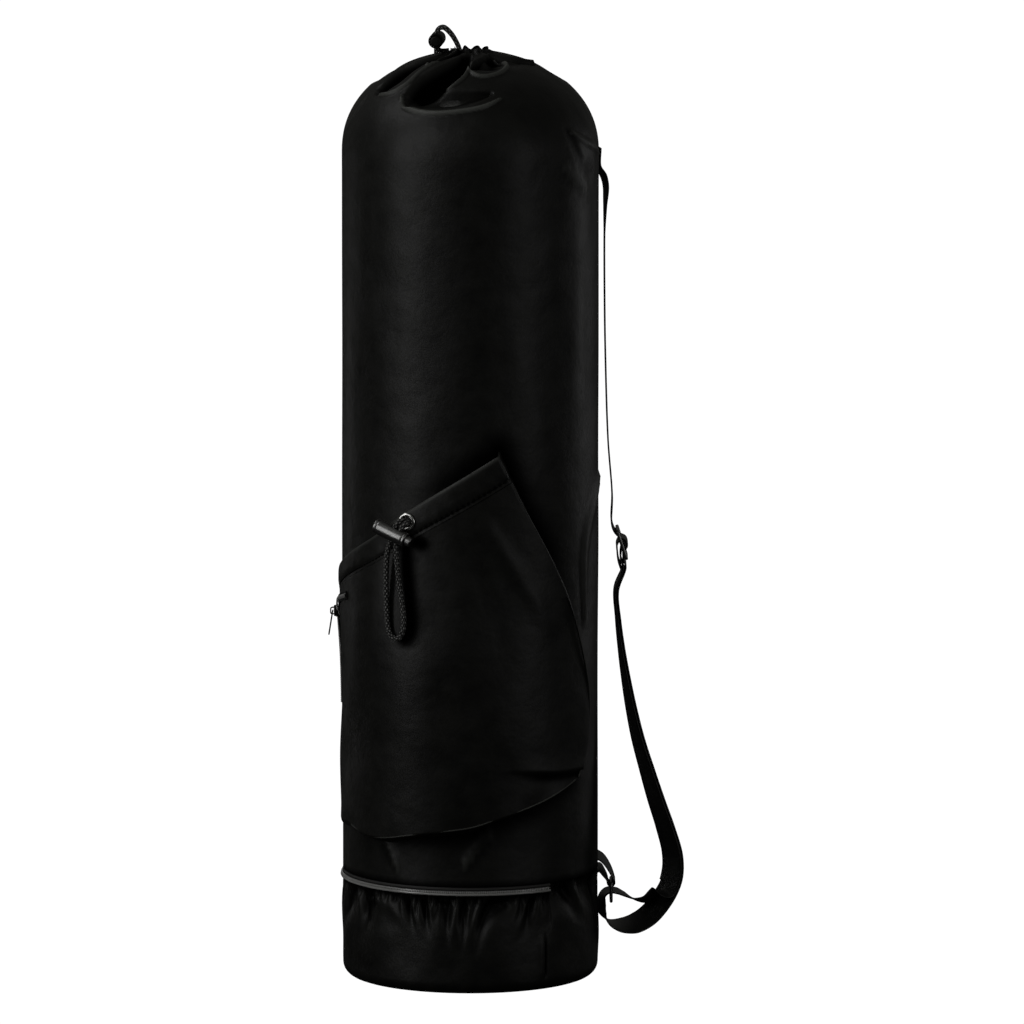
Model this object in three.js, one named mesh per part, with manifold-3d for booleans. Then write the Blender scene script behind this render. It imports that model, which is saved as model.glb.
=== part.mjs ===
// Yoga mat bag: a gathered cloth tube with a zipped, gathered base, a slanted bottle pocket,
// drawcords with barrel locks and an adjustable webbing strap. Millimetres, +Z up.
// The origin is the middle of the base, where the bag stands. Azimuth 0 is the front (-Y)
// and grows towards the right (+X), in degrees.
import * as THREE from "three";
import { mergeVertices } from "three/addons/utils/BufferGeometryUtils.js";
import Module from "manifold-3d";

// Clearance between neighbouring pieces
const seatGap = 0.3;

// Body and dome
const bagRadius = 95;
const clothWall = 1.6;
const baseSeamHeight = 81;
const shoulderHeight = 616;
const domeHeight = 75;
const domeFullness = 2.2;
const mouthRadius = 13;
const lipHeight = 3;
const ruffleCount = 9;
const ruffleDepth = 1.5;
const bodyColumns = 48;
const domeRows = 9;

// Base compartment
const baseEdgeRadius = 9.5;
const baseSwell = 0.6;
const gatherCount = 24;
const gatherDepth = 2.2;
const gatherLength = 38;

// Zip round the base
const zipBand = 7;
const zipTapeWall = 1;
const coilWidth = 3;
const coilHeight = 1;
const zipEndAzimuth = 39;
const zipArc = 188;

// Bottle pocket
const pocketFoot = 116;
const pocketHeight = 289;
const pocketWall = 1;
const gussetDepth = 12;
const bellyDepth = 6;
const gussetRun = 5;
const hemWidth = 16;
const hemWall = 2;

// Zip on the pocket's left side
const sideZipWidth = 6;

// Eyelet, cord locks and drawcords
const eyeletRadius = 6.8;
const eyeletHole = 3.5;
const eyeletWall = 1;
const lockLength = 27.5;
const lockRadius = 5.5;
const lockWall = 1.4;
const lockEndWall = 2.4;
const lockTravel = 3;
const buttonReach = 4.5;
const pocketCordDiameter = 4;
const topCordDiameter = 3.5;
const strandSpacing = 5.2;

// Webbing strap and its hardware
const webbingWidth = 25;
const webbingWall = 1.3;
const strapDepth = 16;
const sliderWall = 2.4;
const sliderBar = 3;
const sliderSlot = 7.4;
const ringWire = 2.4;
const ringWidth = 31.4;
const ringHeight = 16;

// Zip slider and its pull tab
const zipSliderLength = 9;
const zipSliderWidth = 6.5;
const zipSliderHeight = 3.2;
const pullLength = 19;
const pullWidth = 6;
const pullWall = 1;

const radians = THREE.MathUtils.degToRad;
const smooth = THREE.MathUtils.smoothstep;
const wasm = await Module();
wasm.setup();

const finishes = {
  shell: { color: 0x151513, roughness: 0.55, metalness: 0 },
  webbing: { color: 0x0d0d0c, roughness: 0.8, metalness: 0 },
  cord: { color: 0x181716, roughness: 0.7, metalness: 0 },
  gunmetal: { color: 0x6a6c6b, roughness: 0.3, metalness: 1 },
  nickel: { color: 0xc9c9c7, roughness: 0.2, metalness: 1 },
  coil: { color: 0x2a2a29, roughness: 0.35, metalness: 0 },
};

const bag = new THREE.Group();

function addPiece(name, geometry, finish) {
  const mesh = new THREE.Mesh(geometry, new THREE.MeshStandardMaterial(finishes[finish]));
  mesh.name = name;
  bag.add(mesh);
  return mesh;
}

// Evenly spaced values from first to last
const evenShares = (first, last, steps) =>
  Array.from({ length: steps + 1 }, (_, i) => first + ((last - first) * i) / steps);

// A point at an azimuth, a distance from the axis and a height
function around(azimuth, radius, height) {
  const turn = radians(azimuth);
  return new THREE.Vector3(radius * Math.sin(turn), -radius * Math.cos(turn), height);
}

// Welds a geometry's corners and drops the triangles that closed up
function welded(geometry) {
  geometry.deleteAttribute("normal");
  geometry.deleteAttribute("uv");
  const merged = mergeVertices(geometry, 1e-3);
  const corners = merged.index.array;
  const kept = [];
  for (let i = 0; i < corners.length; i += 3) {
    const [a, b, c] = [corners[i], corners[i + 1], corners[i + 2]];
    if (a !== b && b !== c && c !== a) kept.push(a, b, c);
  }
  merged.setIndex(kept);
  return merged;
}

function toSolid(geometry) {
  const merged = welded(geometry);
  return new wasm.Manifold(
    new wasm.Mesh({
      numProp: 3,
      vertProperties: new Float32Array(merged.attributes.position.array),
      triVerts: new Uint32Array(merged.index.array),
    }),
  );
}

function fromSolid(solid) {
  const mesh = solid.getMesh();
  const geometry = new THREE.BufferGeometry();
  geometry.setAttribute("position", new THREE.BufferAttribute(mesh.vertProperties, 3));
  geometry.setIndex(new THREE.BufferAttribute(mesh.triVerts, 1));
  return geometry;
}

// A shell of revolution: a closed lathe profile whose points are placed one by one.
// place(column, station) gives the point of a station of the profile in a column.
function revolvedShell(columns, stations, place) {
  const outline = stations.map((station) => new THREE.Vector2(station.radius, station.height));
  const geometry = new THREE.LatheGeometry(outline, columns.length - 1);
  const position = geometry.getAttribute("position");
  columns.forEach((column, i) => {
    stations.forEach((station, row) => {
      const point = place(column, station);
      position.setXYZ(i * stations.length + row, point.x, point.y, point.z);
    });
  });
  return welded(geometry);
}

// A sheet of even thickness about a grid of middle points. Rows run up and columns to the
// right as seen from the outer face.
function sheetSolid(rows, thickness) {
  const last = rows.length - 1;
  const end = rows[0].length - 1;
  const side = (row, column, share) => {
    const up = rows[Math.min(row + 1, last)][column].clone();
    up.sub(rows[Math.max(row - 1, 0)][column]);
    const across = rows[row][Math.min(column + 1, end)].clone();
    across.sub(rows[row][Math.max(column - 1, 0)]);
    const normal = across.cross(up).normalize();
    return rows[row][column].clone().addScaledVector(normal, share * thickness);
  };
  const points = [];
  const corners = [];
  for (const share of [0.5, -0.5])
    for (let row = 0; row <= last; row++)
      for (let column = 0; column <= end; column++) points.push(side(row, column, share));
  const outer = (row, column) => row * (end + 1) + column;
  const inner = (row, column) => outer(row, column) + (last + 1) * (end + 1);
  const quad = (a, b, c, d) => corners.push(a, b, c, a, c, d);
  for (let row = 0; row < last; row++) {
    for (let column = 0; column < end; column++) {
      quad(outer(row, column), outer(row, column + 1), outer(row + 1, column + 1), outer(row + 1, column));
      quad(inner(row, column), inner(row + 1, column), inner(row + 1, column + 1), inner(row, column + 1));
    }
    quad(outer(row, 0), outer(row + 1, 0), inner(row + 1, 0), inner(row, 0));
    quad(outer(row, end), inner(row, end), inner(row + 1, end), outer(row + 1, end));
  }
  for (let column = 0; column < end; column++) {
    quad(outer(0, column), inner(0, column), inner(0, column + 1), outer(0, column + 1));
    quad(outer(last, column), outer(last, column + 1), inner(last, column + 1), inner(last, column));
  }
  const geometry = new THREE.BufferGeometry().setFromPoints(points);
  geometry.setIndex(corners);
  return welded(geometry);
}

// Folds of the gathered dome. foot and head are the azimuths where a fold starts at its
// lower end and where it enters the mouth, start is the share of the climb from shoulder
// to mouth where it begins, and depth is a share of the dome's height.
const domeFolds = [
  { foot: -53, head: -68, halfWidth: 12, start: 0.4, depth: 0.15 },
  { foot: -33, head: -30, halfWidth: 14, start: 0.29, depth: 0.2 },
  { foot: -6, head: 4, halfWidth: 17, start: 0.34, depth: 0.06 },
  { foot: 11, head: 22, halfWidth: 15, start: 0.57, depth: 0.15 },
  { foot: 47, head: 60, halfWidth: 13, start: 0.7, depth: 0.1 },
  { foot: 98, head: 100, halfWidth: 14, start: 0.52, depth: 0.11 },
  { foot: 136, head: 140, halfWidth: 15, start: 0.36, depth: 0.15 },
  { foot: 178, head: 181, halfWidth: 14, start: 0.46, depth: 0.12 },
  { foot: 216, head: 220, halfWidth: 15, start: 0.34, depth: 0.16 },
  { foot: 258, head: 256, halfWidth: 13, start: 0.5, depth: 0.12 },
];

// Soft dents and ridges of the tube: the pull of the strap's anchor and the ridge beside
// the pocket. height and halfHeight are shares of the shoulder height, depth of the radius.
const bodyDents = [
  { azimuth: 76, height: 0.94, halfWidth: 9, halfHeight: 0.05, depth: 0.013 },
  { azimuth: 80, height: 0.53, halfWidth: 8, halfHeight: 0.11, depth: -0.01 },
  { azimuth: -20, height: 0.82, halfWidth: 14, halfHeight: 0.16, depth: 0.006 },
];

const angleBetween = (a, b) => THREE.MathUtils.euclideanModulo(a - b + 180, 360) - 180;
const bell = (share) => Math.exp(-share * share);

// Inward depth of the dome's folds at an azimuth and a share of the climb
function foldDepth(azimuth, climb) {
  let depth = 0;
  for (const fold of domeFolds) {
    const reach = THREE.MathUtils.clamp((climb - fold.start) / (1 - fold.start), 0, 1);
    const middle = fold.foot + angleBetween(fold.head, fold.foot) * reach;
    const across = bell(angleBetween(azimuth, middle) / fold.halfWidth);
    const along = smooth(climb, fold.start - 0.04, fold.start + 0.2) * (1 - 0.72 * smooth(climb, 0.72, 1));
    depth += fold.depth * domeHeight * across * along;
  }
  return depth;
}

function dentDepth(azimuth, height) {
  let depth = 0;
  for (const dent of bodyDents) {
    const across = bell(angleBetween(azimuth, dent.azimuth) / dent.halfWidth);
    const along = bell((height / shoulderHeight - dent.height) / dent.halfHeight);
    depth += dent.depth * bagRadius * across * along;
  }
  return depth;
}

// The outer profile of the body: the straight tube, the dome and the upright lip.
// climb is 0 at the shoulder and 1 at the mouth, outward is the profile's normal.
const mouthAngle = Math.acos(mouthRadius / bagRadius);
const tubeShares = [0, 0.24, 0.5, 0.76, 0.92];
const lipFoot = domeHeight * Math.sin(mouthAngle) ** (2 / domeFullness);
function bodyOuterStations() {
  const stations = [];
  const seam = baseSeamHeight + seatGap / 2;
  for (const share of tubeShares)
    stations.push({
      radius: bagRadius,
      height: seam + share * (shoulderHeight - seam),
      climb: 0,
      outward: [1, 0],
    });
  for (let row = 0; row <= domeRows; row++) {
    const climb = row / domeRows;
    const angle = climb * mouthAngle;
    const [across, up] = [Math.cos(angle), Math.max(Math.sin(angle), 1e-6) ** (2 / domeFullness)];
    const slope = [across / bagRadius, up ** (domeFullness - 1) / domeHeight];
    const size = Math.hypot(...slope);
    stations.push({
      radius: bagRadius * across,
      height: shoulderHeight + domeHeight * up,
      climb,
      outward: [slope[0] / size, slope[1] / size],
    });
  }
  stations.push({
    radius: mouthRadius,
    height: shoulderHeight + lipFoot + lipHeight,
    climb: 1,
    outward: [1, 0],
  });
  return stations;
}

function bodyPoint(azimuth, station) {
  const inward = foldDepth(azimuth, station.climb) + dentDepth(azimuth, station.height);
  const wave = Math.cos(radians((azimuth + 90) * ruffleCount));
  const ruffle = ruffleDepth * smooth(station.climb, 0.8, 1) * wave;
  const radius = station.radius - inward * station.fold[0] + ruffle;
  const height = station.height - inward * station.fold[1] + 0.4 * ruffle;
  return around(azimuth, radius, height);
}

function bodyPanel() {
  const outer = bodyOuterStations().map((station) => ({ ...station, fold: station.outward }));
  outer.at(-1).fold = outer.at(-2).outward;
  const inner = outer.toReversed().map((station) => ({
    ...station,
    radius: station.radius - clothWall * station.outward[0],
    height: station.height - clothWall * station.outward[1],
  }));
  return revolvedShell(evenShares(0, 360, bodyColumns), [...outer, ...inner, outer[0]], bodyPoint);
}

// Columns round the base: even ones over the zip and over the rest, and a narrow step at
// each end of the zip, where the base panel rises to the seam.
const zipStartAzimuth = zipEndAzimuth - zipArc;
function baseColumns() {
  const zipColumns = 46;
  const restColumns = 40;
  const step = 0.3;
  const restArc = 360 - zipArc - 2 * step;
  const columns = evenShares(0, 1, zipColumns).map((share) => ({
    azimuth: zipStartAzimuth + share * zipArc,
    top: baseSeamHeight - seatGap / 2 - zipBand,
  }));
  for (const share of evenShares(0, 1, restColumns))
    columns.push({ azimuth: zipEndAzimuth + step + share * restArc, top: baseSeamHeight - seatGap / 2 });
  columns.push({ ...columns[0], azimuth: zipStartAzimuth + 360 });
  return columns;
}

// The base cup: flat bottom, rounded edge, and a wall gathered into the seam.
// rise is the share of the wall between the rounded edge and the top.
function baseStations() {
  const wallFoot = baseEdgeRadius;
  const wallRises = [0.45, 0.78, 1];
  const outer = [{ radius: 0, height: 0, rise: 0 }];
  for (const turn of [0, 45, 90])
    outer.push({
      radius: bagRadius - baseEdgeRadius * (1 - Math.sin(radians(turn))),
      height: wallFoot - baseEdgeRadius * Math.cos(radians(turn)),
      rise: 0,
    });
  for (const rise of wallRises) outer.push({ radius: bagRadius, height: 0, rise });
  const inner = wallRises.toReversed().map((rise) => ({ radius: bagRadius - clothWall, height: 0, rise }));
  inner.push({ radius: bagRadius - clothWall, height: wallFoot, rise: 0 });
  inner.push({ radius: bagRadius - baseEdgeRadius, height: clothWall, rise: 0 });
  inner.push({ radius: 0, height: clothWall, rise: 0 });
  return [...outer, ...inner];
}

function basePoint({ azimuth, top }, station) {
  if (station.rise === 0) return around(azimuth, station.radius, station.height);
  const height = baseEdgeRadius + station.rise * (top - baseEdgeRadius);
  const fade = smooth(height, top - gatherLength, top - 4);
  const wave = 0.5 - 0.5 * Math.cos(radians(azimuth * gatherCount));
  const swell = baseSwell * Math.sin(Math.PI * station.rise);
  return around(azimuth, station.radius - gatherDepth * fade * wave + swell, height);
}

function arcBand(radius, low, high, first, last, columns, wall) {
  const row = (height) => evenShares(first, last, columns).map((azimuth) => around(azimuth, radius, height));
  return sheetSolid([row(low), row(high)], wall);
}

function baseZip() {
  const high = baseSeamHeight - seatGap / 2 - seatGap;
  const low = baseSeamHeight - seatGap / 2 - zipBand + seatGap;
  const endGap = 0.4;
  const middle = (low + high) / 2;
  const tapeRadius = bagRadius - zipTapeWall / 2;
  const coilRadius = bagRadius + seatGap + coilHeight / 2;
  const [first, last] = [zipStartAzimuth + endGap, zipEndAzimuth - endGap];
  addPiece("base_zip_tape", arcBand(tapeRadius, low, high, first, last, 36, zipTapeWall), "webbing");
  const coil = arcBand(coilRadius, middle - coilWidth / 2, middle + coilWidth / 2, first, last, 36, coilHeight);
  addPiece("base_zip_coil", coil, "coil");
  const sliderAzimuth = first + 5;
  const frame = new THREE.Matrix4().makeRotationX(Math.PI / 2);
  frame.premultiply(new THREE.Matrix4().makeRotationZ(radians(sliderAzimuth)));
  frame.setPosition(around(sliderAzimuth, bagRadius + seatGap, middle));
  zipSlider("base_zip", frame, 0, 2);
}

// Outline of the bottle pocket: azimuths, and rises as shares of its height over its foot
const pocketEdges = {
  hem: [
    { azimuth: -112, rise: 0.59 },
    { azimuth: -90, rise: 0.645 },
    { azimuth: -66, rise: 0.7 },
    { azimuth: -42, rise: 0.772 },
    { azimuth: -25, rise: 0.849 },
    { azimuth: 13, rise: 1 },
  ],
  right: [
    { azimuth: 50, rise: 0.145 },
    { azimuth: 57, rise: 0.26 },
    { azimuth: 58, rise: 0.36 },
    { azimuth: 54.7, rise: 0.46 },
    { azimuth: 47, rise: 0.6 },
    { azimuth: 37, rise: 0.72 },
    { azimuth: 24.7, rise: 0.855 },
    { azimuth: 13, rise: 1 },
  ],
  foot: [
    { azimuth: -112, rise: 0.01 },
    { azimuth: -60, rise: 0 },
    { azimuth: -8, rise: 0.017 },
    { azimuth: 12, rise: 0.05 },
    { azimuth: 31.5, rise: 0.09 },
    { azimuth: 50, rise: 0.145 },
  ],
  left: [
    { azimuth: -112, rise: 0.01 },
    { azimuth: -112, rise: 0.59 },
  ],
};

const arcScale = radians(1) * bagRadius;
const pocketCurves = {};
for (const [name, edge] of Object.entries(pocketEdges))
  pocketCurves[name] = new THREE.SplineCurve(
    edge.map((point) => new THREE.Vector2(point.azimuth * arcScale, pocketFoot + point.rise * pocketHeight)),
  );

// How far the pocket stands off the body: nothing at the left, a gusset at the right and
// foot, and a belly between them
function pocketStand(across, up) {
  const span = pocketCurves.foot.getLength();
  const tall = pocketHeight * (0.58 + 0.42 * across);
  const fromLeft = smooth(across, 0.13, 0.56);
  const gusset = smooth((1 - across) * span, 0, gussetRun) * smooth(up * tall, 0, gussetRun);
  const belly = Math.sin(Math.PI * Math.min(1, across / 0.96)) ** 2 * Math.sin(Math.PI * Math.min(1, up)) ** 0.8;
  return fromLeft * gusset * (gussetDepth + bellyDepth * belly);
}

// A point of the pocket: shares across from the left and up from the foot, and the distance
// out from the cloth's middle
function pocketPoint(across, up, out = 0) {
  const foot = pocketCurves.foot.getPointAt(across);
  const hem = pocketCurves.hem.getPointAt(across);
  const left = pocketCurves.left.getPointAt(up);
  const right = pocketCurves.right.getPointAt(up);
  const corner = (name, share) => pocketCurves[name].getPointAt(share);
  const blend = (axis) =>
    (1 - up) * foot[axis] +
    up * hem[axis] +
    (1 - across) * left[axis] +
    across * right[axis] -
    (1 - across) * (1 - up) * corner("foot", 0)[axis] -
    across * (1 - up) * corner("foot", 1)[axis] -
    (1 - across) * up * corner("hem", 0)[axis] -
    across * up * corner("hem", 1)[axis];
  const radius = bagRadius + seatGap + pocketWall / 2 + pocketStand(across, up) + out;
  return around(blend("x") / arcScale, radius, blend("y"));
}

const pocketGrid = (acrossShares, upShares, out = 0) =>
  upShares.map((up) => acrossShares.map((across) => pocketPoint(across, up, out)));
const hemShare = 1 - hemWidth / (0.9 * pocketHeight);

function pocket() {
  const across = [...evenShares(0, 0.976, 24), 0.988, 1];
  const up = [0, 0.012, ...evenShares(0.1, hemShare - 0.002, 6)];
  addPiece("pocket_panel", sheetSolid(pocketGrid(across, up), pocketWall), "shell");
  const hemLift = (hemWall - pocketWall) / 2;
  const hem = toSolid(sheetSolid(pocketGrid(across, [hemShare, 1], hemLift), hemWall));
  const hole = new THREE.CylinderGeometry(eyeletHole + eyeletWall + seatGap, eyeletHole + eyeletWall + seatGap, 20, 16);
  hole.rotateX(-Math.PI / 2);
  hole.applyMatrix4(eyeletFrame);
  addPiece("pocket_hem", fromSolid(hem.subtract(toSolid(hole))), "shell");
}

// A frame on the pocket: x across, y up the cloth, z outwards
function pocketFrame(across, up, out) {
  const origin = pocketPoint(across, up, out);
  const right = pocketPoint(across + 0.01, up, out).sub(pocketPoint(across - 0.01, up, out)).setZ(0).normalize();
  const above = new THREE.Vector3(0, 0, 1);
  const outwards = right.clone().cross(above);
  return new THREE.Matrix4().makeBasis(right, above, outwards).setPosition(origin);
}

const eyeletAcross = 0.672;
const eyeletUp = 1 - (1 - hemShare) * 0.45;
const hemFace = hemWall - pocketWall / 2;
const eyeletFrame = pocketFrame(eyeletAcross, eyeletUp, hemFace + 2 * seatGap);

function eyelet() {
  const neck = eyeletHole + eyeletWall;
  const profile = [
    [eyeletHole, -hemWall],
    [neck, -hemWall],
    [neck, 0],
    [eyeletRadius, 0],
    [eyeletRadius, eyeletWall * 0.5],
    [eyeletRadius - 0.8, eyeletWall],
    [eyeletHole + 0.6, eyeletWall * 1.2],
    [eyeletHole, eyeletWall * 0.6],
    [eyeletHole, -hemWall],
  ];
  const points = profile.map(([radius, height]) => new THREE.Vector2(radius, height));
  const ring = new THREE.LatheGeometry(points, 16).rotateX(Math.PI / 2);
  ring.applyMatrix4(eyeletFrame);
  addPiece("pocket_eyelet", welded(ring), "nickel");
}

function cylinder(radius, first, last, sides) {
  const rod = new THREE.CylinderGeometry(radius, radius, last - first, sides);
  return rod.rotateZ(-Math.PI / 2).translate((first + last) / 2, 0, 0);
}

function block(width, depth, height, x, y, z) {
  return new THREE.BoxGeometry(width, depth, height).translate(x, y, z);
}

// A barrel cord lock along x, with the cord passing along y: a bored barrel and the
// sprung plunger whose head is the button
function cordLock(name, frame, cordDiameter) {
  const half = lockLength / 2;
  const bore = lockRadius - lockWall;
  const plunger = bore - seatGap;
  const slotHalf = strandSpacing / 2 + cordDiameter / 2 + 0.4;
  const slotMiddle = 4;
  const slotWidth = cordDiameter + 2 * seatGap;
  const plungerFoot = -half + lockEndWall + lockTravel + seatGap;
  const barrel = toSolid(cylinder(lockRadius, -half, half, 18))
    .subtract(toSolid(cylinder(bore, -half + lockEndWall, half + 1, 16)))
    .subtract(toSolid(block(2 * slotHalf, 4 * lockRadius, slotWidth, slotMiddle, 0, 0)));
  const slotLast = slotMiddle + slotHalf + lockTravel;
  const slotFirst = slotMiddle - slotHalf;
  const slot = block(slotLast - slotFirst, 4 * lockRadius, slotWidth, (slotFirst + slotLast) / 2, 0, 0);
  const button = toSolid(cylinder(plunger, plungerFoot, half + buttonReach, 16)).subtract(toSolid(slot));
  addPiece(name + "_barrel", fromSolid(barrel).applyMatrix4(frame), "gunmetal");
  addPiece(name + "_button", fromSolid(button).applyMatrix4(frame), "gunmetal");
}

// A cord: a round section carried along a smooth curve through a few chosen points
function cordSolid(points, diameter, steps) {
  const section = new THREE.Shape();
  section.absarc(0, 0, diameter / 2, 0, 2 * Math.PI, false);
  const path = new THREE.CatmullRomCurve3(points, false, "centripetal");
  const geometry = new THREE.ExtrudeGeometry(section, { steps, curveSegments: 4, extrudePath: path });
  return welded(geometry);
}

// The pocket's lock lies on the hem beside and below the eyelet, its button end lower
const lockTilt = -20;
const lockDrop = 8;
const lockAside = 9.8;
const lockTurn = -THREE.MathUtils.radToDeg(lockAside / (bagRadius + gussetDepth));
function pocketLockFrame() {
  const place = new THREE.Matrix4().makeTranslation(-lockAside, -lockDrop, lockRadius);
  return eyeletFrame.clone().multiply(place).multiply(new THREE.Matrix4().makeRotationY(radians(lockTurn)));
}

// Route of the pocket's drawcord in the lock's place before its tilt: across, up and out
// from the lock's middle. It leaves the eyelet, passes the lock, hangs in a loop and
// returns through the lock to the eyelet.
const pocketCordRoute = [
  [12.1, 8.3, -3.6],
  [11.9, 8, -2.2],
  [10, 5.8, -0.5],
  [8.1, 2.9, 0],
  [6.2, -2.26, 0],
  [4.3, -7.4, 0],
  [4.4, -14, 0.2],
  [5.2, -24, 0.2],
  [7, -38, 0],
  [9, -52, -0.2],
  [10.2, -64, -0.4],
  [9.2, -72.6, -0.6],
  [5.9, -77.6, -0.6],
  [1.9, -78, -0.6],
  [-1.7, -74.4, -0.6],
  [-3.4, -67, -0.6],
  [-4.2, -54, -0.4],
  [-4.4, -38, 0],
  [-4, -24, 0.2],
  [-2.9, -13.6, 0.2],
  [-0.9, -6.65, 0],
  [1.3, -0.48, 0],
  [3.2, 4.7, 0],
  [5.2, 7.7, -0.6],
  [7.2, 9.2, -2.2],
  [7.3, 9.4, -3.6],
];

// Top drawcord: x, y and z over the shoulder. It leaves the gathered mouth, passes the
// lock, arches over into the mouth, and comes back the same way beside itself.
const topLockPlace = [-24.3, 4, 82.6];
const topLockTurn = -94;
const topCordRoute = [
  [-15.4, 2.6, 74.7],
  [-18.4, 2.6, 74.4],
  [-21.8, 2.6, 74.6],
  [-24.1, 2.6, 76.6],
  [-24.4, 2.6, 82.6],
  [-24.4, 2.6, 87.6],
  [-22.6, 2.6, 91.2],
  [-19.2, 2.6, 92],
  [-14.6, 2.6, 88.2],
  [-10.2, 2.6, 81.4],
  [-7.4, 2.6, 74.4],
  [-6.6, 2.9, 68],
  [-6.4, 2.4, 64.2],
  [-6.3, 0, 62.4],
  [-6.4, -2.4, 64.2],
  [-6.6, -2.9, 68],
  [-7.4, -2.6, 74.4],
  [-10.2, -2.6, 81.4],
  [-14.8, -2.6, 88.2],
  [-19.6, -2.6, 92],
  [-23, -2.6, 91.2],
  [-24.7, -2.6, 87.6],
  [-24.76, -2.6, 82.6],
  [-24.8, -2.6, 77.4],
  [-24.9, -2.6, 72.6],
];

function topLockFrame() {
  const place = new THREE.Vector3(topLockPlace[0], topLockPlace[1], shoulderHeight + topLockPlace[2]);
  const turn = new THREE.Matrix4().makeRotationZ(radians(topLockTurn));
  const upright = new THREE.Matrix4().makeRotationX(Math.PI / 2);
  return turn.multiply(upright).setPosition(place);
}

// Strap route seen from the front: out is the distance beyond the body's radius and aside
// the distance behind the strap's middle, both as shares of that radius. rise is the height
// as a share of the shoulder's, and lean the turn of the webbing about its run, in degrees.
// The strap starts at its anchor, passes the tri-glide, hangs, turns up through the ring
// and returns inside itself to the tri-glide.
const strapRun = [
  { out: -0.0037, rise: 1.0032, lean: -9.7 },
  { out: -0.0037, rise: 0.9805, lean: -9.7 },
  { out: 0.0358, rise: 0.9692, lean: -12 },
  { out: 0.0568, rise: 0.9562, lean: -9 },
  { out: 0.0526, rise: 0.9334, lean: -4 },
  { out: 0.0474, rise: 0.901, lean: 0 },
  { out: 0.0484, rise: 0.8279, lean: 0 },
  { out: 0.0547, rise: 0.7581, lean: 0 },
  { out: 0.0768, rise: 0.6494, lean: 0 },
  { out: 0.1095, rise: 0.5812, lean: 0 },
];

// Through the tri-glide, in its own frame: p outwards and q up its face
const sliderTilt = 18;
const sliderPlace = { out: 0.1853, rise: 0.5227 };
const sliderRun = [
  { p: -2.4, q: 17 },
  { p: -2.3, q: 10.6 },
  { p: 0, q: 5.8 },
  { p: 3.4, q: 2.4 },
  { p: 3.9, q: 0 },
  { p: 3.4, q: -2.4 },
  { p: 0, q: -5.8 },
  { p: -2.3, q: -10.6 },
  { p: -2.4, q: -17 },
];

// From the tri-glide down to the lowest bend
const hangingRun = [
  { out: 0.1537, rise: 0.4659, lean: -2 },
  { out: 0.1684, rise: 0.4286, lean: -4 },
  { out: 0.1958, rise: 0.392, lean: -7 },
  { out: 0.2316, rise: 0.3555, lean: -11 },
  { out: 0.2737, rise: 0.3192, lean: -15 },
  { out: 0.3263, rise: 0.2825, lean: -19 },
  { out: 0.3937, rise: 0.2461, lean: -23 },
  { out: 0.4653, rise: 0.2094, lean: -27 },
  { out: 0.5411, rise: 0.1737, lean: -30 },
  { out: 0.5958, rise: 0.1412, lean: -33 },
  { out: 0.5958, rise: 0.1169, lean: -34 },
  { out: 0.5579, rise: 0.099, lean: -34 },
];

// The bend under the ring and through it, with rise as a share of the base seam's height
const lowerRun = [
  { out: 0.4842, rise: 0.6111, lean: -34 },
  { out: 0.4, rise: 0.5, lean: -33 },
  { out: 0.2947, rise: 0.4247, lean: -28 },
  { out: 0.1789, rise: 0.4074, lean: -14 },
  { out: 0.0905, rise: 0.437, lean: 2 },
  { out: 0.0379, rise: 0.5185, lean: 14, aside: 0.0053 },
  { out: 0.0295, rise: 0.6173, lean: 14, aside: 0.0053 },
  { out: 0.0484, rise: 0.6963, lean: 6, aside: 0.0053 },
  { out: 0.0947, rise: 0.7333, lean: 0 },
  { out: 0.1474, rise: 0.7284, lean: 0 },
  { out: 0.2105, rise: 0.6963, lean: -3 },
  { out: 0.2842, rise: 0.6543, lean: -10 },
  { out: 0.3789, rise: 0.6494, lean: -22 },
  { out: 0.4674, rise: 0.716, lean: -31 },
];
const layerOffset = webbingWall + 2 * seatGap;

const runPoint = ({ out, rise, aside = 0 }, scale) =>
  new THREE.Vector3(bagRadius * (1 + out), strapDepth + bagRadius * aside, rise * scale);

// The returning layer runs inside the hanging one, an even distance off
function returnRun() {
  const points = hangingRun.map((stop) => runPoint(stop, shoulderHeight)).reverse();
  const leans = hangingRun.map((stop) => stop.lean).reverse();
  return points.map((point, i) => {
    const before = points[Math.max(i - 1, 0)];
    const after = points[Math.min(i + 1, points.length - 1)];
    const along = after.clone().sub(before).normalize();
    const turn = radians(leans[i]);
    const inward = new THREE.Vector3(-along.z * Math.cos(turn), Math.sin(turn), along.x * Math.cos(turn));
    return { point: point.clone().addScaledVector(inward, layerOffset), lean: -leans[i] };
  });
}

// The end of the webbing: up inside, round the middle bar and back down
const sliderEnd = [
  { p: -2.4 - layerOffset, q: -17 },
  { p: -2.4 - layerOffset, q: -10.6 },
  { p: -0.9, q: -3 },
  { p: 1.7, q: -2.2 },
  { p: 2.3, q: 0 },
  { p: 1.7, q: 2.2 },
  { p: -1.4, q: 2.7 },
  { p: -3.6, q: 0.6 },
  { p: -4.9, q: -4 },
  { p: -6.3, q: -11 },
  { p: -6.3, q: -20 },
];

function sliderPoint({ p, q }) {
  const turn = radians(sliderTilt);
  const offset = new THREE.Vector3(p * Math.cos(turn) - q * Math.sin(turn), 0, p * Math.sin(turn) + q * Math.cos(turn));
  return runPoint(sliderPlace, shoulderHeight).add(offset);
}

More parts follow.
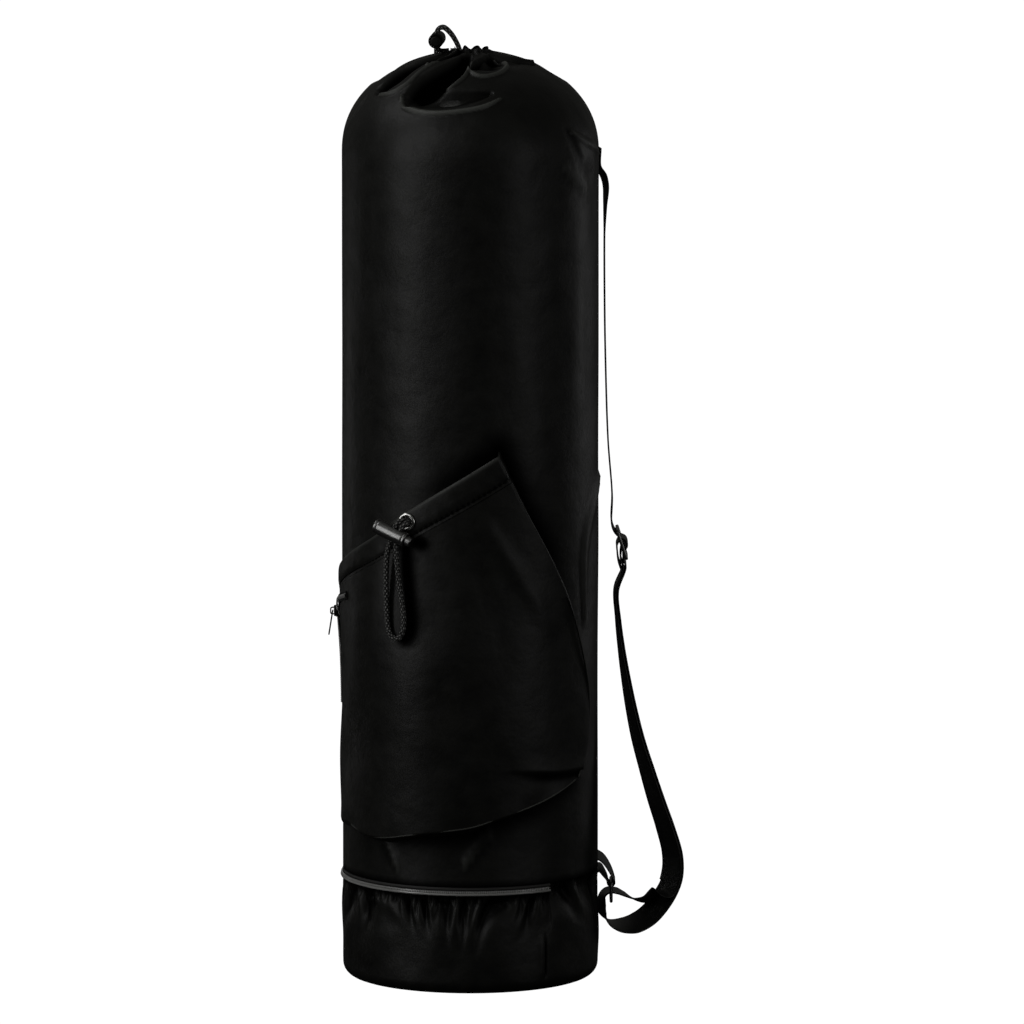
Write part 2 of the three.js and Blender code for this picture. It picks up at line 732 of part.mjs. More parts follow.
// A ribbon of webbing along points with a lean each: two columns a webbing's width apart
function ribbonSolid(stops, steps, width, wall) {
  const path = new THREE.CatmullRomCurve3(
    stops.map((stop) => stop.point),
    false,
    "centripetal",
  );
  const rows = [];
  for (let i = 0; i <= steps; i++) {
    const share = i / steps;
    const place = share * (stops.length - 1);
    const low = Math.min(Math.floor(place), stops.length - 2);
    const lean = THREE.MathUtils.lerp(stops[low].lean, stops[low + 1].lean, place - low);
    const point = path.getPoint(share);
    const along = path.getTangent(share);
    const across = new THREE.Vector3(0, 1, 0).addScaledVector(along, -along.y).normalize();
    across.applyAxisAngle(along, radians(lean));
    rows.push([-0.5, 0.5].map((side) => point.clone().addScaledVector(across, side * width)));
  }
  return sheetSolid(rows, wall);
}

function strap() {
  const stops = [
    ...strapRun.map((stop) => ({ point: runPoint(stop, shoulderHeight), lean: stop.lean })),
    ...sliderRun.map((stop) => ({ point: sliderPoint(stop), lean: 0 })),
    ...hangingRun.map((stop) => ({ point: runPoint(stop, shoulderHeight), lean: stop.lean })),
    ...lowerRun.map((stop) => ({ point: runPoint(stop, baseSeamHeight), lean: stop.lean })),
    ...returnRun(),
    ...sliderEnd.map((stop) => ({ point: sliderPoint(stop), lean: 0 })),
  ];
  addPiece("strap", ribbonSolid(stops, 2 * (stops.length - 1), webbingWidth, webbingWall), "webbing");
}

function roundedRectangle(width, height, radius, Maker, x = 0, y = 0) {
  const outline = new Maker();
  const [right, top] = [width / 2, height / 2];
  outline.absarc(x + right - radius, y + top - radius, radius, 0, Math.PI / 2, false);
  outline.absarc(x - right + radius, y + top - radius, radius, Math.PI / 2, Math.PI, false);
  outline.absarc(x - right + radius, y - top + radius, radius, Math.PI, 1.5 * Math.PI, false);
  outline.absarc(x + right - radius, y - top + radius, radius, 1.5 * Math.PI, 2 * Math.PI, false);
  outline.closePath();
  return outline;
}

// A flat frame with slots, in the plane of the webbing's width and the z axis
function frameSolid(outline, wall) {
  const bevel = wall * 0.3;
  const geometry = new THREE.ExtrudeGeometry(outline, {
    depth: wall - 2 * bevel,
    bevelEnabled: true,
    bevelThickness: bevel,
    bevelSize: bevel,
    bevelOffset: -bevel,
    bevelSegments: 1,
    curveSegments: 2,
  });
  geometry.translate(0, 0, bevel - wall / 2);
  return geometry.applyMatrix4(
    new THREE.Matrix4().makeBasis(
      new THREE.Vector3(0, 1, 0),
      new THREE.Vector3(0, 0, 1),
      new THREE.Vector3(1, 0, 0),
    ),
  );
}

function triGlide() {
  const slotWidth = webbingWidth + 1.6;
  const height = 2 * sliderSlot + 3 * sliderBar;
  const outline = roundedRectangle(slotWidth + 2 * sliderBar, height, 2.5, THREE.Shape);
  const slotMiddle = (sliderBar + sliderSlot) / 2;
  outline.holes.push(roundedRectangle(slotWidth, sliderSlot, 1, THREE.Path, 0, slotMiddle));
  outline.holes.push(roundedRectangle(slotWidth, sliderSlot, 1, THREE.Path, 0, -slotMiddle));
  const frame = frameSolid(outline, sliderWall).rotateY(-radians(sliderTilt));
  frame.translate(...runPoint(sliderPlace, shoulderHeight));
  addPiece("strap_slider", welded(frame), "gunmetal");
}

// The rectangular ring hangs on its webbing tab from the base seam
const ringPlace = { out: 0.1053, rise: 0.7407 };
function ringAndTab() {
  const outline = roundedRectangle(ringWidth, ringHeight, 3, THREE.Shape);
  outline.holes.push(roundedRectangle(ringWidth - 2 * ringWire, ringHeight - 2 * ringWire, 1.2, THREE.Path));
  const place = runPoint(ringPlace, baseSeamHeight);
  const ring = frameSolid(outline, ringWire);
  ring.translate(...place);
  addPiece("strap_ring", welded(ring), "gunmetal");
  const bar = place.clone().add(new THREE.Vector3(0, 0, (ringHeight - ringWire) / 2));
  const clear = ringWire / 2 + webbingWall / 2 + 2 * seatGap;
  const seam = new THREE.Vector3(bagRadius, strapDepth, baseSeamHeight);
  const fromSeam = (x, z) => seam.clone().add(new THREE.Vector3(x, 0, z));
  const fromBar = (x, z) => bar.clone().add(new THREE.Vector3(x * clear, 0, z * clear));
  const upper = fromSeam(4, 2.4);
  const stops = [
    { point: fromSeam(1.4, 4.4), lean: 6 },
    { point: upper, lean: 5 },
    { point: upper.clone().lerp(bar, 0.5).add(new THREE.Vector3(1.6, 0, 1.6)), lean: 3 },
    { point: fromBar(0.85, 0.75), lean: 0 },
    { point: fromBar(1, -0.2), lean: 0 },
    { point: fromBar(0.2, -1), lean: 0 },
    { point: fromBar(-0.9, -0.5), lean: 0 },
    { point: fromBar(-1.3, 0.9), lean: 0 },
    { point: fromBar(-2.2, 2.4), lean: -3 },
    { point: fromSeam(1.6, -4.2), lean: -6 },
  ];
  addPiece("ring_tab", ribbonSolid(stops, 22, webbingWidth, webbingWall), "webbing");
}

// A zip slider and its pull, in a frame with x across, y up and z out from the tape's face.
// The slider's plate is turned along the zip and grooved over its coil. Its bridge stands
// in the upright plane, and the pull's cross-bar lies under the bridge.
const bridgeRise = 3;
const bridgeBar = 1;
const bridgeWidth = 1.6;
const bridgeLength = 6;
const crossBar = 1.2;
const pullWindow = 3.7;
const hingeLift = zipSliderHeight + (bridgeRise - bridgeBar) / 2;
function zipSlider(name, frame, zipTurn, pullLean) {
  const outline = roundedRectangle(zipSliderLength, zipSliderWidth, 1.8, THREE.Shape);
  const plate = new THREE.ExtrudeGeometry(outline, {
    depth: zipSliderHeight,
    bevelEnabled: false,
    curveSegments: 2,
  });
  const grooveDepth = 2 * (coilHeight + seatGap);
  const groove = block(2 * zipSliderLength, coilWidth + 5 * seatGap, grooveDepth, 0, 0, 0);
  const bridgeFoot = zipSliderHeight - 0.4;
  const bridgeTop = zipSliderHeight + bridgeRise;
  const bridge = toSolid(block(bridgeWidth, bridgeLength, bridgeTop - bridgeFoot, 0, 0, (bridgeFoot + bridgeTop) / 2));
  const opening = block(
    2 * bridgeWidth,
    bridgeLength - 2 * bridgeBar,
    bridgeRise - bridgeBar + 0.4,
    0,
    0,
    zipSliderHeight + (bridgeRise - bridgeBar - 0.4) / 2,
  );
  const turn = new THREE.Matrix4().makeRotationZ(radians(zipTurn));
  const body = toSolid(plate.applyMatrix4(turn)).subtract(toSolid(groove.applyMatrix4(turn)));
  const slider = body.add(bridge.subtract(toSolid(opening)));
  addPiece(name + "_slider", fromSolid(slider).applyMatrix4(frame), "gunmetal");

  const tab = roundedRectangle(pullWidth, pullLength, 2.2, THREE.Shape, 0, (crossBar - pullLength) / 2);
  const windowMiddle = -(crossBar + pullWindow) / 2;
  tab.holes.push(roundedRectangle(pullWidth - 2 * crossBar, pullWindow, 0.8, THREE.Path, 0, windowMiddle));
  const pull = new THREE.ExtrudeGeometry(tab, { depth: pullWall, bevelEnabled: false, curveSegments: 2 });
  pull.translate(0, 0, -pullWall / 2).rotateX(-radians(pullLean)).translate(0, 0, hingeLift);
  addPiece(name + "_pull", welded(pull.applyMatrix4(frame)), "gunmetal");
}

// The zip down the pocket's left side: shares across the pocket and up it
const sideZipRun = [
  { across: 0.37, up: 0.86 },
  { across: 0.25, up: 0.872 },
  { across: 0.158, up: 0.845 },
  { across: 0.11, up: 0.79 },
  { across: 0.075, up: 0.69 },
  { across: 0.06, up: 0.57 },
  { across: 0.055, up: 0.47 },
];
const sideSliderStop = 2;

function sideZip() {
  const course = new THREE.SplineCurve(sideZipRun.map(({ across, up }) => new THREE.Vector2(across, up)));
  const band = (share, width, out) => {
    const place = course.getPoint(share);
    const along = course.getTangent(share).multiplyScalar(0.01);
    const point = pocketPoint(place.x, place.y, out);
    const run = pocketPoint(place.x + along.x, place.y + along.y, out).sub(point);
    const across = new THREE.Vector3(point.x, point.y, 0).normalize().cross(run).normalize();
    return [-0.5, 0.5].map((side) => point.clone().addScaledVector(across, side * width));
  };
  const strip = (width, out, wall) => {
    const edges = evenShares(0, 1, 30).map((share) => band(share, width, out));
    return sheetSolid(edges, wall);
  };
  const tapeOut = pocketWall / 2 + seatGap + zipTapeWall / 2;
  const coilOut = tapeOut + zipTapeWall / 2 + seatGap + coilHeight / 2;
  addPiece("side_zip_tape", strip(sideZipWidth, tapeOut, zipTapeWall), "webbing");
  addPiece("side_zip_coil", strip(coilWidth, coilOut, coilHeight), "coil");
  const { across, up } = sideZipRun[sideSliderStop];
  const frame = pocketFrame(across, up, coilOut - coilHeight / 2);
  zipSlider("side_zip", frame, 42, 9);
}

// Panels
addPiece("body_panel", bodyPanel(), "shell");
addPiece("base_panel", revolvedShell(baseColumns(), baseStations(), basePoint), "shell");
baseZip();
pocket();
sideZip();
eyelet();

// Locks and cords
const pocketLock = pocketLockFrame();
const tilt = new THREE.Matrix4().makeRotationZ(radians(lockTilt));
cordLock("pocket_lock", pocketLock.clone().multiply(tilt), pocketCordDiameter);
const pocketCordPoints = pocketCordRoute.map((point) => new THREE.Vector3(...point).applyMatrix4(pocketLock));
addPiece("pocket_drawcord", cordSolid(pocketCordPoints, pocketCordDiameter, 36), "cord");
cordLock("top_lock", topLockFrame(), topCordDiameter);
const topCordPoints = topCordRoute.map(([x, y, z]) => new THREE.Vector3(x, y, shoulderHeight + z));
addPiece("top_drawcord", cordSolid(topCordPoints, topCordDiameter, 30), "cord");

// Strap
strap();
triGlide();
ringAndTab();

export default bag;
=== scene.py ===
"""Looks of the yoga mat bag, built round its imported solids.

Everything is in metres with +Z up. The bag stands on z = 0 with its axis on the Z axis, its
front towards -Y and its strap towards +X. An azimuth is 0 at the front and grows towards
the strap, in degrees.
"""

from __future__ import annotations

import logging
import math
from collections.abc import Sequence
from dataclasses import dataclass, field
from enum import Enum
from functools import reduce

import bmesh
import bpy
import numpy as np
from mathutils import Matrix, Vector

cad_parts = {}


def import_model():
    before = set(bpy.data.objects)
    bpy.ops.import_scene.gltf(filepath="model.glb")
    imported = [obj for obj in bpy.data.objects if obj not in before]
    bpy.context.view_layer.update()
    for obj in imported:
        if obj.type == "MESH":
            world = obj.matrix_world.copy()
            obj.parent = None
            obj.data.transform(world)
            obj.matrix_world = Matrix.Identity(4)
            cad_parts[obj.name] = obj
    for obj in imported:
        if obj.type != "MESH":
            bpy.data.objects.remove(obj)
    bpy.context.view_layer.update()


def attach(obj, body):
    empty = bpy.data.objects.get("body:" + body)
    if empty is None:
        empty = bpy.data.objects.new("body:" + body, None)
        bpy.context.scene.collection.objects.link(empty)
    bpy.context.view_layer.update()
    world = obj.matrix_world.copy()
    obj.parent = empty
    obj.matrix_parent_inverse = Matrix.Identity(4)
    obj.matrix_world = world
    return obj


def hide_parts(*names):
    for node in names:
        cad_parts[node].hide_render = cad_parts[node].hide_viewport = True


LOG = logging.getLogger("mat_bag")
CLOTH_UV = "cloth"
# Point attribute of painted light: below 0 painted shade of folds, above 0 painted highlight on creases
PAINTED_LIGHT = "painted_light"
MM = 0.001

Array = np.ndarray


class Body(Enum):
    """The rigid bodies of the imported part."""

    BAG = "bag"
    POCKET_BUTTON = "pocket_button"
    TOP_BUTTON = "top_button"
    SIDE_PULL = "side_pull"
    BASE_PULL = "base_pull"


# Curves, grids and meshes


def smooth(value: Array | float, low: float, high: float) -> Array:
    """Smooth step: 0 below low, 1 above high, and 3t^2 - 2t^3 between them."""
    t = np.clip((np.asarray(value, float) - low) / (high - low), 0.0, 1.0)
    return t * t * (3 - 2 * t)


def bell(value: Array, power: float = 2.0) -> Array:
    """Bell curve exp(-|x|^power)."""
    return np.exp(-np.abs(value) ** power)


def wrapped(azimuth: Array, middle: float) -> Array:
    """Signed difference of two azimuths, from -180 to 180 degrees."""
    return np.mod(np.asarray(azimuth) - middle + 180, 360) - 180


def around(azimuth: Array, radius: Array, height: Array) -> Array:
    """Points at azimuths, distances from the axis and heights, as (r sin a, -r cos a, h)."""
    turn = np.radians(azimuth)
    parts = np.broadcast_arrays(radius * np.sin(turn), -radius * np.cos(turn), height)
    return np.stack(parts, axis=-1)


def unit(vectors: Array) -> Array:
    """Vectors divided by their lengths."""
    return vectors / np.maximum(np.linalg.norm(vectors, axis=-1, keepdims=True), 1e-12)


def spline_places(count: int, steps: int) -> tuple[Array, Array]:
    """Even samples along a curve through some points: their stretches and shares of them."""
    place = np.linspace(0, count - 1, steps + 1)
    low = np.minimum(place.astype(int), count - 2)
    return low, (place - low)[:, None]


def hermite(t: Array, start: Array, end: Array, leave: Array, arrive: Array) -> Array:
    """Cubic from start to end with a tangent at each, at shares t from 0 to 1."""
    cubic = (2 * start - 2 * end + leave + arrive) * t**3
    square = (-3 * start + 3 * end - 2 * leave - arrive) * t**2
    return cubic + square + leave * t + start


def uniform_spline(points: Array, steps: int) -> Array:
    """Catmull-Rom curve through points, with tangents (next - previous) / 2, sampled evenly."""
    low, t = spline_places(len(points), steps)
    before, start = points[np.maximum(low - 1, 0)], points[low]
    end, after = points[low + 1], points[np.minimum(low + 2, len(points) - 1)]
    return hermite(t, start, end, (end - before) / 2, (after - start) / 2)


def centripetal_spline(points: Array, steps: int) -> Array:
    """Centripetal Catmull-Rom curve: knots lie the square root of each chord apart."""
    padded = np.vstack([2 * points[0] - points[1], points, 2 * points[-1] - points[-2]])
    gaps = np.sqrt(np.maximum(np.linalg.norm(np.diff(padded, axis=0), axis=1), 1e-9))
    low, t = spline_places(len(points), steps)
    p0, p1, p2, p3 = (padded[low + i] for i in range(4))
    d0, d1, d2 = (gaps[low + i][:, None] for i in range(3))
    leave = ((p1 - p0) / d0 - (p2 - p0) / (d0 + d1) + (p2 - p1) / d1) * d1
    arrive = ((p2 - p1) / d1 - (p3 - p1) / (d1 + d2) + (p3 - p2) / d2) * d1
    return hermite(t, p1, p2, leave, arrive)


def run_lengths(path: Array) -> Array:
    """Distance along a path at each of its points."""
    return np.concatenate([[0.0], np.cumsum(np.linalg.norm(np.diff(path, axis=0), axis=1))])


def at_lengths(path: Array, lengths: Array, values: Array | None = None) -> Array:
    """Points of a path, or values given at its points, at distances along it."""
    run = run_lengths(path)
    columns = path.T if values is None else values.T
    return np.stack([np.interp(lengths, run, column) for column in columns], axis=-1)


def frame_of(axes: Sequence[Sequence[float]], place: Sequence[float]) -> Array:
    """A placement from three directions and a point."""
    frame = np.eye(4)
    for column, axis in enumerate(axes):
        frame[:3, column] = axis
    frame[:3, 3] = place
    return frame


def upright_frame(right: Array, place: Array) -> Array:
    """A placement with x along a level direction, y up and z out of the cloth."""
    up = (0.0, 0.0, 1.0)
    return frame_of((right, up, np.cross(right, up)), place)


def outward_at(points: Array) -> Array:
    """Level directions from the bag's axis to points."""
    return around(np.degrees(np.arctan2(points[:, 0], -points[:, 1])), 1.0, 0.0)


def carried_frames(path: Array, first_side: Array) -> tuple[Array, Array]:
    """Two side directions along a path, carried without twist from the first one.

    Args:
        path: Points of the path.
        first_side: Wanted side direction at the start.

    Returns:
        The side and the upward direction at each point.
    """
    along = unit(np.gradient(path, axis=0))
    sides = np.empty_like(path)
    side = first_side
    for i, tangent in enumerate(along):
        side = side - tangent * np.dot(side, tangent)
        side = side / np.linalg.norm(side)
        sides[i] = side
    return sides, np.cross(along, sides)


def quads(rows: int, columns: int, wrap_rows: bool, wrap_columns: bool) -> Array:
    """Corner numbers of a grid's faces, counter-clockwise with columns right and rows up."""
    row = np.arange(rows if wrap_rows else rows - 1)[:, None]
    column = np.arange(columns if wrap_columns else columns - 1)[None, :]
    above, right = (row + 1) % rows, (column + 1) % columns
    low, high = row * columns, above * columns
    corners = [low + column, low + right, high + right, high + column]
    return np.stack([np.broadcast_to(c, (row.size, column.size)) for c in corners], -1).reshape(-1, 4)


def grid_corner_uv(uv: Array) -> Array:
    """Texture places of a grid's face corners from a grid of places one larger each way."""
    parts = [uv[:-1, :-1], uv[:-1, 1:], uv[1:, 1:], uv[1:, :-1]]
    return np.stack(parts, axis=2).reshape(-1, 2)


@dataclass
class Shape:
    """A mesh being made: its points, its four-sided faces, their texture places and caps."""

    points: Array
    faces: Array
    uv: Array
    caps: list[list[int]] = field(default_factory=list)
    # Painted light at each point: painted shade below 0, painted highlight above 0
    painted_light: Array | None = None

    def joined(self, other: Shape) -> Shape:
        """This shape and another one as a single shape."""
        shift = len(self.points)
        caps = self.caps + [[corner + shift for corner in cap] for cap in other.caps]
        both_painted = self.painted_light is not None and other.painted_light is not None
        return Shape(
            np.vstack([self.points, other.points]),
            np.vstack([self.faces, other.faces + shift]),
            np.vstack([self.uv, other.uv]),
            caps,
            np.concatenate([self.painted_light.ravel(), other.painted_light.ravel()]) if both_painted else None,
        )

    def placed(self, matrix: Array) -> Shape:
        """This shape under a 4 by 4 placement."""
        return Shape(self.points @ matrix[:3, :3].T + matrix[:3, 3], self.faces, self.uv, self.caps)


def grid_shape(points: Array, uv: Array, wrap_rows: bool = False, wrap_columns: bool = False) -> Shape:
    """A surface on a grid of points, joined to itself along rows or columns where asked."""
    rows, columns = points.shape[:2]
    faces = quads(rows, columns, wrap_rows, wrap_columns)
    return Shape(points.reshape(-1, 3), faces, grid_corner_uv(uv))


def uv_grid(u: Array, v: Array) -> Array:
    """Texture places of a grid whose columns lie at u and whose rows lie at v, in metres."""
    return np.stack(np.meshgrid(u, v), axis=-1)


def plain_uv(rows: int, columns: int, width: float, height: float) -> Array:
    """A flat grid of texture places of a given size, in metres."""
    return uv_grid(np.linspace(0, width, columns), np.linspace(0, height, rows))


def slab_shape(outer: Array, inner: Array, uv: Array) -> Shape:
    """A closed slab between two grids of points: outer face, inner face and four rims.

    The grid is walked as one loop across the outer face and back across the inner one, and
    its two ends are closed by strips.
    """
    rows, columns = outer.shape[:2]
    loop = np.concatenate([outer, inner[:, ::-1]], axis=1)
    loop_uv = np.concatenate([uv, uv[:, ::-1], uv[:, :1]], axis=1)
    shape = grid_shape(loop, loop_uv, wrap_columns=True)
    width = 2 * columns
    column = np.arange(columns - 1)
    low = np.stack([column, width - 1 - column, width - 2 - column, column + 1], -1)
    high = low[:, ::-1] + (rows - 1) * width
    ends = np.vstack([low, high])
    end_uv = np.repeat(np.concatenate([uv[0, :-1], uv[-1, :-1]]), 4, axis=0)
    shape.faces = np.vstack([shape.faces, ends])
    shape.uv = np.vstack([shape.uv, end_uv])
    return shape


def distance_to_line(points: Array, line: Array) -> tuple[Array, Array]:
    """Distance of points to a line of straight pieces.

    Args:
        points: The points, in any shape of grid.
        line: Corners of the line, with any further values beside their three coordinates.

    Returns:
        The distances, and the line's further values at the nearest places.
    """
    start, step = line[:-1], np.diff(line, axis=0)
    offset = points[..., None, :] - start[:, :3]
    share = np.sum(offset * step[:, :3], axis=-1) / np.maximum(np.sum(step[:, :3] ** 2, axis=-1), 1e-12)
    share = np.clip(share, 0, 1)
    away = np.linalg.norm(offset - share[..., None] * step[:, :3], axis=-1)
    nearest = np.argmin(away, axis=-1)[..., None]
    part = np.take_along_axis(share, nearest, -1)
    extra = start[nearest[..., 0], 3:] + part * step[nearest[..., 0], 3:]
    return np.take_along_axis(away, nearest, -1)[..., 0], extra


def surface_normals(points: Array) -> Array:
    """Unit normals of a grid: the change across columns times the change up rows."""
    return unit(np.cross(np.gradient(points, axis=1), np.gradient(points, axis=0)))


def sheet_shape(middle: Array, wall: float, uv: Array) -> Shape:
    """A slab of even thickness about a grid of middle points."""
    half = surface_normals(middle) * wall / 2
    return slab_shape(middle + half, middle - half, uv)


def tube_shape(path: Array, sides: Array, ups: Array, section: Array, closed: bool = False) -> Shape:
    """A section carried along a path: point + side x + up y for each section corner (x, y).

    Args:
        path: Points of the path.
        sides: Side direction at each point.
        ups: Upward direction at each point.
        section: Corners of the section, counter-clockwise seen against the path.
        closed: Whether the path comes back to its start.

    Returns:
        The tube, with flat caps where it is open.
    """
    section = np.broadcast_to(section, (len(path),) + section.shape[-2:])
    across, up = section[..., 0:1], section[..., 1:2]
    points = path[:, None] + across * sides[:, None] + up * ups[:, None]
    around_run = run_lengths(points[0])
    width = around_run[-1] + np.linalg.norm(points[0, 0] - points[0, -1])
    u = np.append(around_run, width)
    v = run_lengths(path)
    if closed:
        v = np.append(v, v[-1] + np.linalg.norm(path[0] - path[-1]))
    shape = grid_shape(points, uv_grid(u, v), wrap_rows=closed, wrap_columns=True)
    if not closed:
        count = section.shape[1]
        last = (len(path) - 1) * count
        shape.caps = [list(range(count))[::-1], list(range(last, last + count))]
    return shape


def circle(radius: float, sides: int) -> Array:
    """Corners of a regular section, counter-clockwise."""
    turn = np.linspace(0, 2 * np.pi, sides, endpoint=False)
    return radius * np.stack([np.cos(turn), np.sin(turn)], axis=-1)


def rounded_box(width: float, height: float, radius: float, steps: int = 4) -> Array:
    """Corners of a rectangle with rounded corners, counter-clockwise from the lower right."""
    turn = np.radians(np.linspace(0, 90, steps + 1))
    corners = []
    for quarter, (x, y) in enumerate([(1, 1), (-1, 1), (-1, -1), (1, -1)]):
        middle = np.array([x * (width / 2 - radius), y * (height / 2 - radius)])
        angle = turn + quarter * np.pi / 2
        corners.append(middle + radius * np.stack([np.cos(angle), np.sin(angle)], axis=-1))
    return np.vstack(corners)


def revolved_shape(profile: Array, steps: int, caps: bool = False) -> Shape:
    """A profile of (radius, height) turned about the Z axis, its material on the left of its run.

    Args:
        profile: Points of the profile. Without caps it closes on itself.
        steps: Number of steps round the axis.
        caps: Whether the profile is open and its two ends are closed by flat faces.

    Returns:
        The turned surface.
    """
    turn = np.linspace(0, 360, steps, endpoint=False)
    points = around(turn[None, :], profile[:, None, 0], profile[:, None, 1])
    rows = len(profile) + (0 if caps else 1)
    uv = plain_uv(rows, steps + 1, 2 * np.pi * profile[:, 0].max(), 0.01)
    shape = grid_shape(points, uv, wrap_rows=not caps, wrap_columns=True)
    if caps:
        last = (len(profile) - 1) * steps
        shape.caps = [list(range(steps))[::-1], list(range(last, last + steps))]
    return shape


def copies_shape(base: Shape, origins: Array, xs: Array, ys: Array, zs: Array) -> Shape:
    """Copies of a small shape, one at each origin, along three directions given there."""
    axes = np.stack([xs, ys, zs], axis=-1)
    points = origins[:, None] + np.einsum("nij,kj->nki", axes, base.points)
    shift = (np.arange(len(origins)) * len(base.points))[:, None, None]
    faces = (base.faces[None] + shift).reshape(-1, 4)
    uv = np.tile(base.uv, (len(origins), 1))
    caps = [[c + int(s) for c in cap] for s in shift.ravel() for cap in base.caps]
    return Shape(points.reshape(-1, 3), faces, uv, caps)


@dataclass(frozen=True)
class Stitch:
    """A row of stitches: how far apart they are, how long, and the radius of their thread."""

    pitch: float
    length: float
    radius: float

    def shape(self) -> Shape:
        """One stitch along x: a thread that bows out of the cloth and dips in at its ends."""
        share = np.linspace(-1, 1, 7)
        bow = self.radius * (0.9 - 1.5 * share**4)
        path = np.stack([share * self.length / 2, 0 * share, bow], axis=-1)
        sides = np.tile([0.0, -1.0, 0.0], (7, 1))
        ups = np.cross(unit(np.gradient(path, axis=0)), sides)
        return tube_shape(path, sides, ups, circle(self.radius, 6))

    def row(self, path: Array, outwards: Array) -> Shape:
        """Even stitches along a path on a cloth whose outward directions are given."""
        places = np.arange(self.pitch / 2, run_lengths(path)[-1], self.pitch)
        along = unit(at_lengths(path, places, np.gradient(path, axis=0)))
        out = at_lengths(path, places, outwards)
        out = unit(out - along * np.sum(out * along, axis=-1, keepdims=True))
        origins = at_lengths(path, places)
        return copies_shape(self.shape(), origins, along, np.cross(out, along), out)


CASING_STITCH = Stitch(0.0034, 0.0024, 0.00038)
STRAP_STITCH = Stitch(0.0026, 0.0021, 0.00024)


def loose_shape(mesh: bpy.types.Mesh) -> Shape:
    """A mesh as a shape whose faces are all caps."""
    points = np.empty(len(mesh.vertices) * 3)
    mesh.vertices.foreach_get("co", points)
    caps = [list(polygon.vertices) for polygon in mesh.polygons]
    return Shape(points.reshape(-1, 3), np.zeros((0, 4), int), np.zeros((0, 2)), caps)


def plate_shape(outlines: Sequence[Array], thickness: float, bevel: float) -> Shape:
    """A flat plate with holes, in the XY plane, with rounded edges.

    Args:
        outlines: The outer outline counter-clockwise, then the holes clockwise.
        thickness: Thickness of the plate.
        bevel: Radius of its rounded edges.

    Returns:
        The plate as loose four-sided and three-sided faces.
    """
    data = bpy.data.curves.new("plate", "CURVE")
    data.dimensions = "2D"
    data.fill_mode = "BOTH"
    data.extrude = thickness / 2 - bevel
    data.bevel_depth = bevel
    data.bevel_resolution = 3
    data.offset = -bevel
    for outline in outlines:
        spline = data.splines.new("POLY")
        spline.points.add(len(outline) - 1)
        flat = np.pad(outline, ((0, 0), (0, 2)))
        flat[:, 3] = 1
        spline.points.foreach_set("co", flat.ravel())
        spline.use_cyclic_u = True
    holder = bpy.data.objects.new("plate", data)
    bpy.context.scene.collection.objects.link(holder)
    mesh = bpy.data.meshes.new_from_object(holder.evaluated_get(bpy.context.evaluated_depsgraph_get()))
    work = bmesh.new()
    work.from_mesh(mesh)
    bmesh.ops.remove_doubles(work, verts=work.verts, dist=1e-7)
    bmesh.ops.recalc_face_normals(work, faces=work.faces)
    work.to_mesh(mesh)
    work.free()
    shape = loose_shape(mesh)
    bpy.data.objects.remove(holder)
    bpy.data.curves.remove(data)
    bpy.data.meshes.remove(mesh)
    return shape


def build_mesh(name: str, shape: Shape, weld: bool, sharp_angle: float) -> bpy.types.Mesh:
    """A Blender mesh of a shape, shaded smooth but for edges sharper than an angle."""
    mesh = bpy.data.meshes.new(name)
    four = shape.faces.ravel()
    capped = [corner for cap in shape.caps for corner in cap]
    loops = np.concatenate([four, np.array(capped, int)]) if capped else four
    totals = np.concatenate([np.full(len(shape.faces), 4), np.array([len(c) for c in shape.caps], int)])
    starts = np.concatenate([[0], np.cumsum(totals)[:-1]])
    mesh.vertices.add(len(shape.points))
    mesh.vertices.foreach_set("co", shape.points.astype(np.float32).ravel())
    mesh.loops.add(len(loops))
    mesh.loops.foreach_set("vertex_index", loops.astype(np.int32))
    mesh.polygons.add(len(totals))
    mesh.polygons.foreach_set("loop_start", starts.astype(np.int32))
    places = mesh.uv_layers.new(name=CLOTH_UV)
    cap_uv = shape.points[capped][:, :2] if capped else np.zeros((0, 2))
    places.uv.foreach_set("vector", np.vstack([shape.uv, cap_uv]).astype(np.float32).ravel())
    # The painted shade and painted highlight go into a point attribute
    if shape.painted_light is not None:
        painted_light = mesh.attributes.new(PAINTED_LIGHT, "FLOAT", "POINT")
        painted_light.data.foreach_set("value", shape.painted_light.astype(np.float32).ravel())
    mesh.update(calc_edges=True)
    mesh.validate()
    if weld:
        work = bmesh.new()
        work.from_mesh(mesh)
        bmesh.ops.remove_doubles(work, verts=work.verts, dist=1e-6)
        work.to_mesh(mesh)
        work.free()
    mesh.shade_smooth()
    mesh.set_sharp_from_angle(angle=math.radians(sharp_angle))
    return mesh


# Shader maths

DEEP_SHADE = (0.0006, 0.0006, 0.0006, 1.0)


class Link:
    """A shader socket that can be used in arithmetic."""

    def __init__(self, graph: Graph, socket: bpy.types.NodeSocket) -> None:
        """Keeps the socket and the graph it is in."""
        self.graph = graph
        self.socket = socket

    def maths(self, operation: str, *values: Link | float) -> Link:
        """This value and others through one Math node."""
        inputs = dict(enumerate((self, *values)))
        return self.graph.node("ShaderNodeMath", {"operation": operation}, inputs)

    def __add__(self, other: Link | float) -> Link:
        """Sum."""
        return self.maths("ADD", other)

    __radd__ = __add__

    def __mul__(self, other: Link | float) -> Link:
        """Product."""
        return self.maths("MULTIPLY", other)

    __rmul__ = __mul__

    def __sub__(self, other: Link | float) -> Link:
        """Difference."""
        return self.maths("SUBTRACT", other)

    def __rsub__(self, other: float) -> Link:
        """A number less this value."""
        return self.graph.node("ShaderNodeMath", {"operation": "SUBTRACT"}, {0: other, 1: self})

    def __pow__(self, other: float) -> Link:
        """Power."""
        return self.maths("POWER", other)

    def sine(self) -> Link:
        """Sine of the value in radians."""
        return self.maths("SINE")

    def absolute(self) -> Link:
        """Value without its sign."""
        return self.maths("ABSOLUTE")


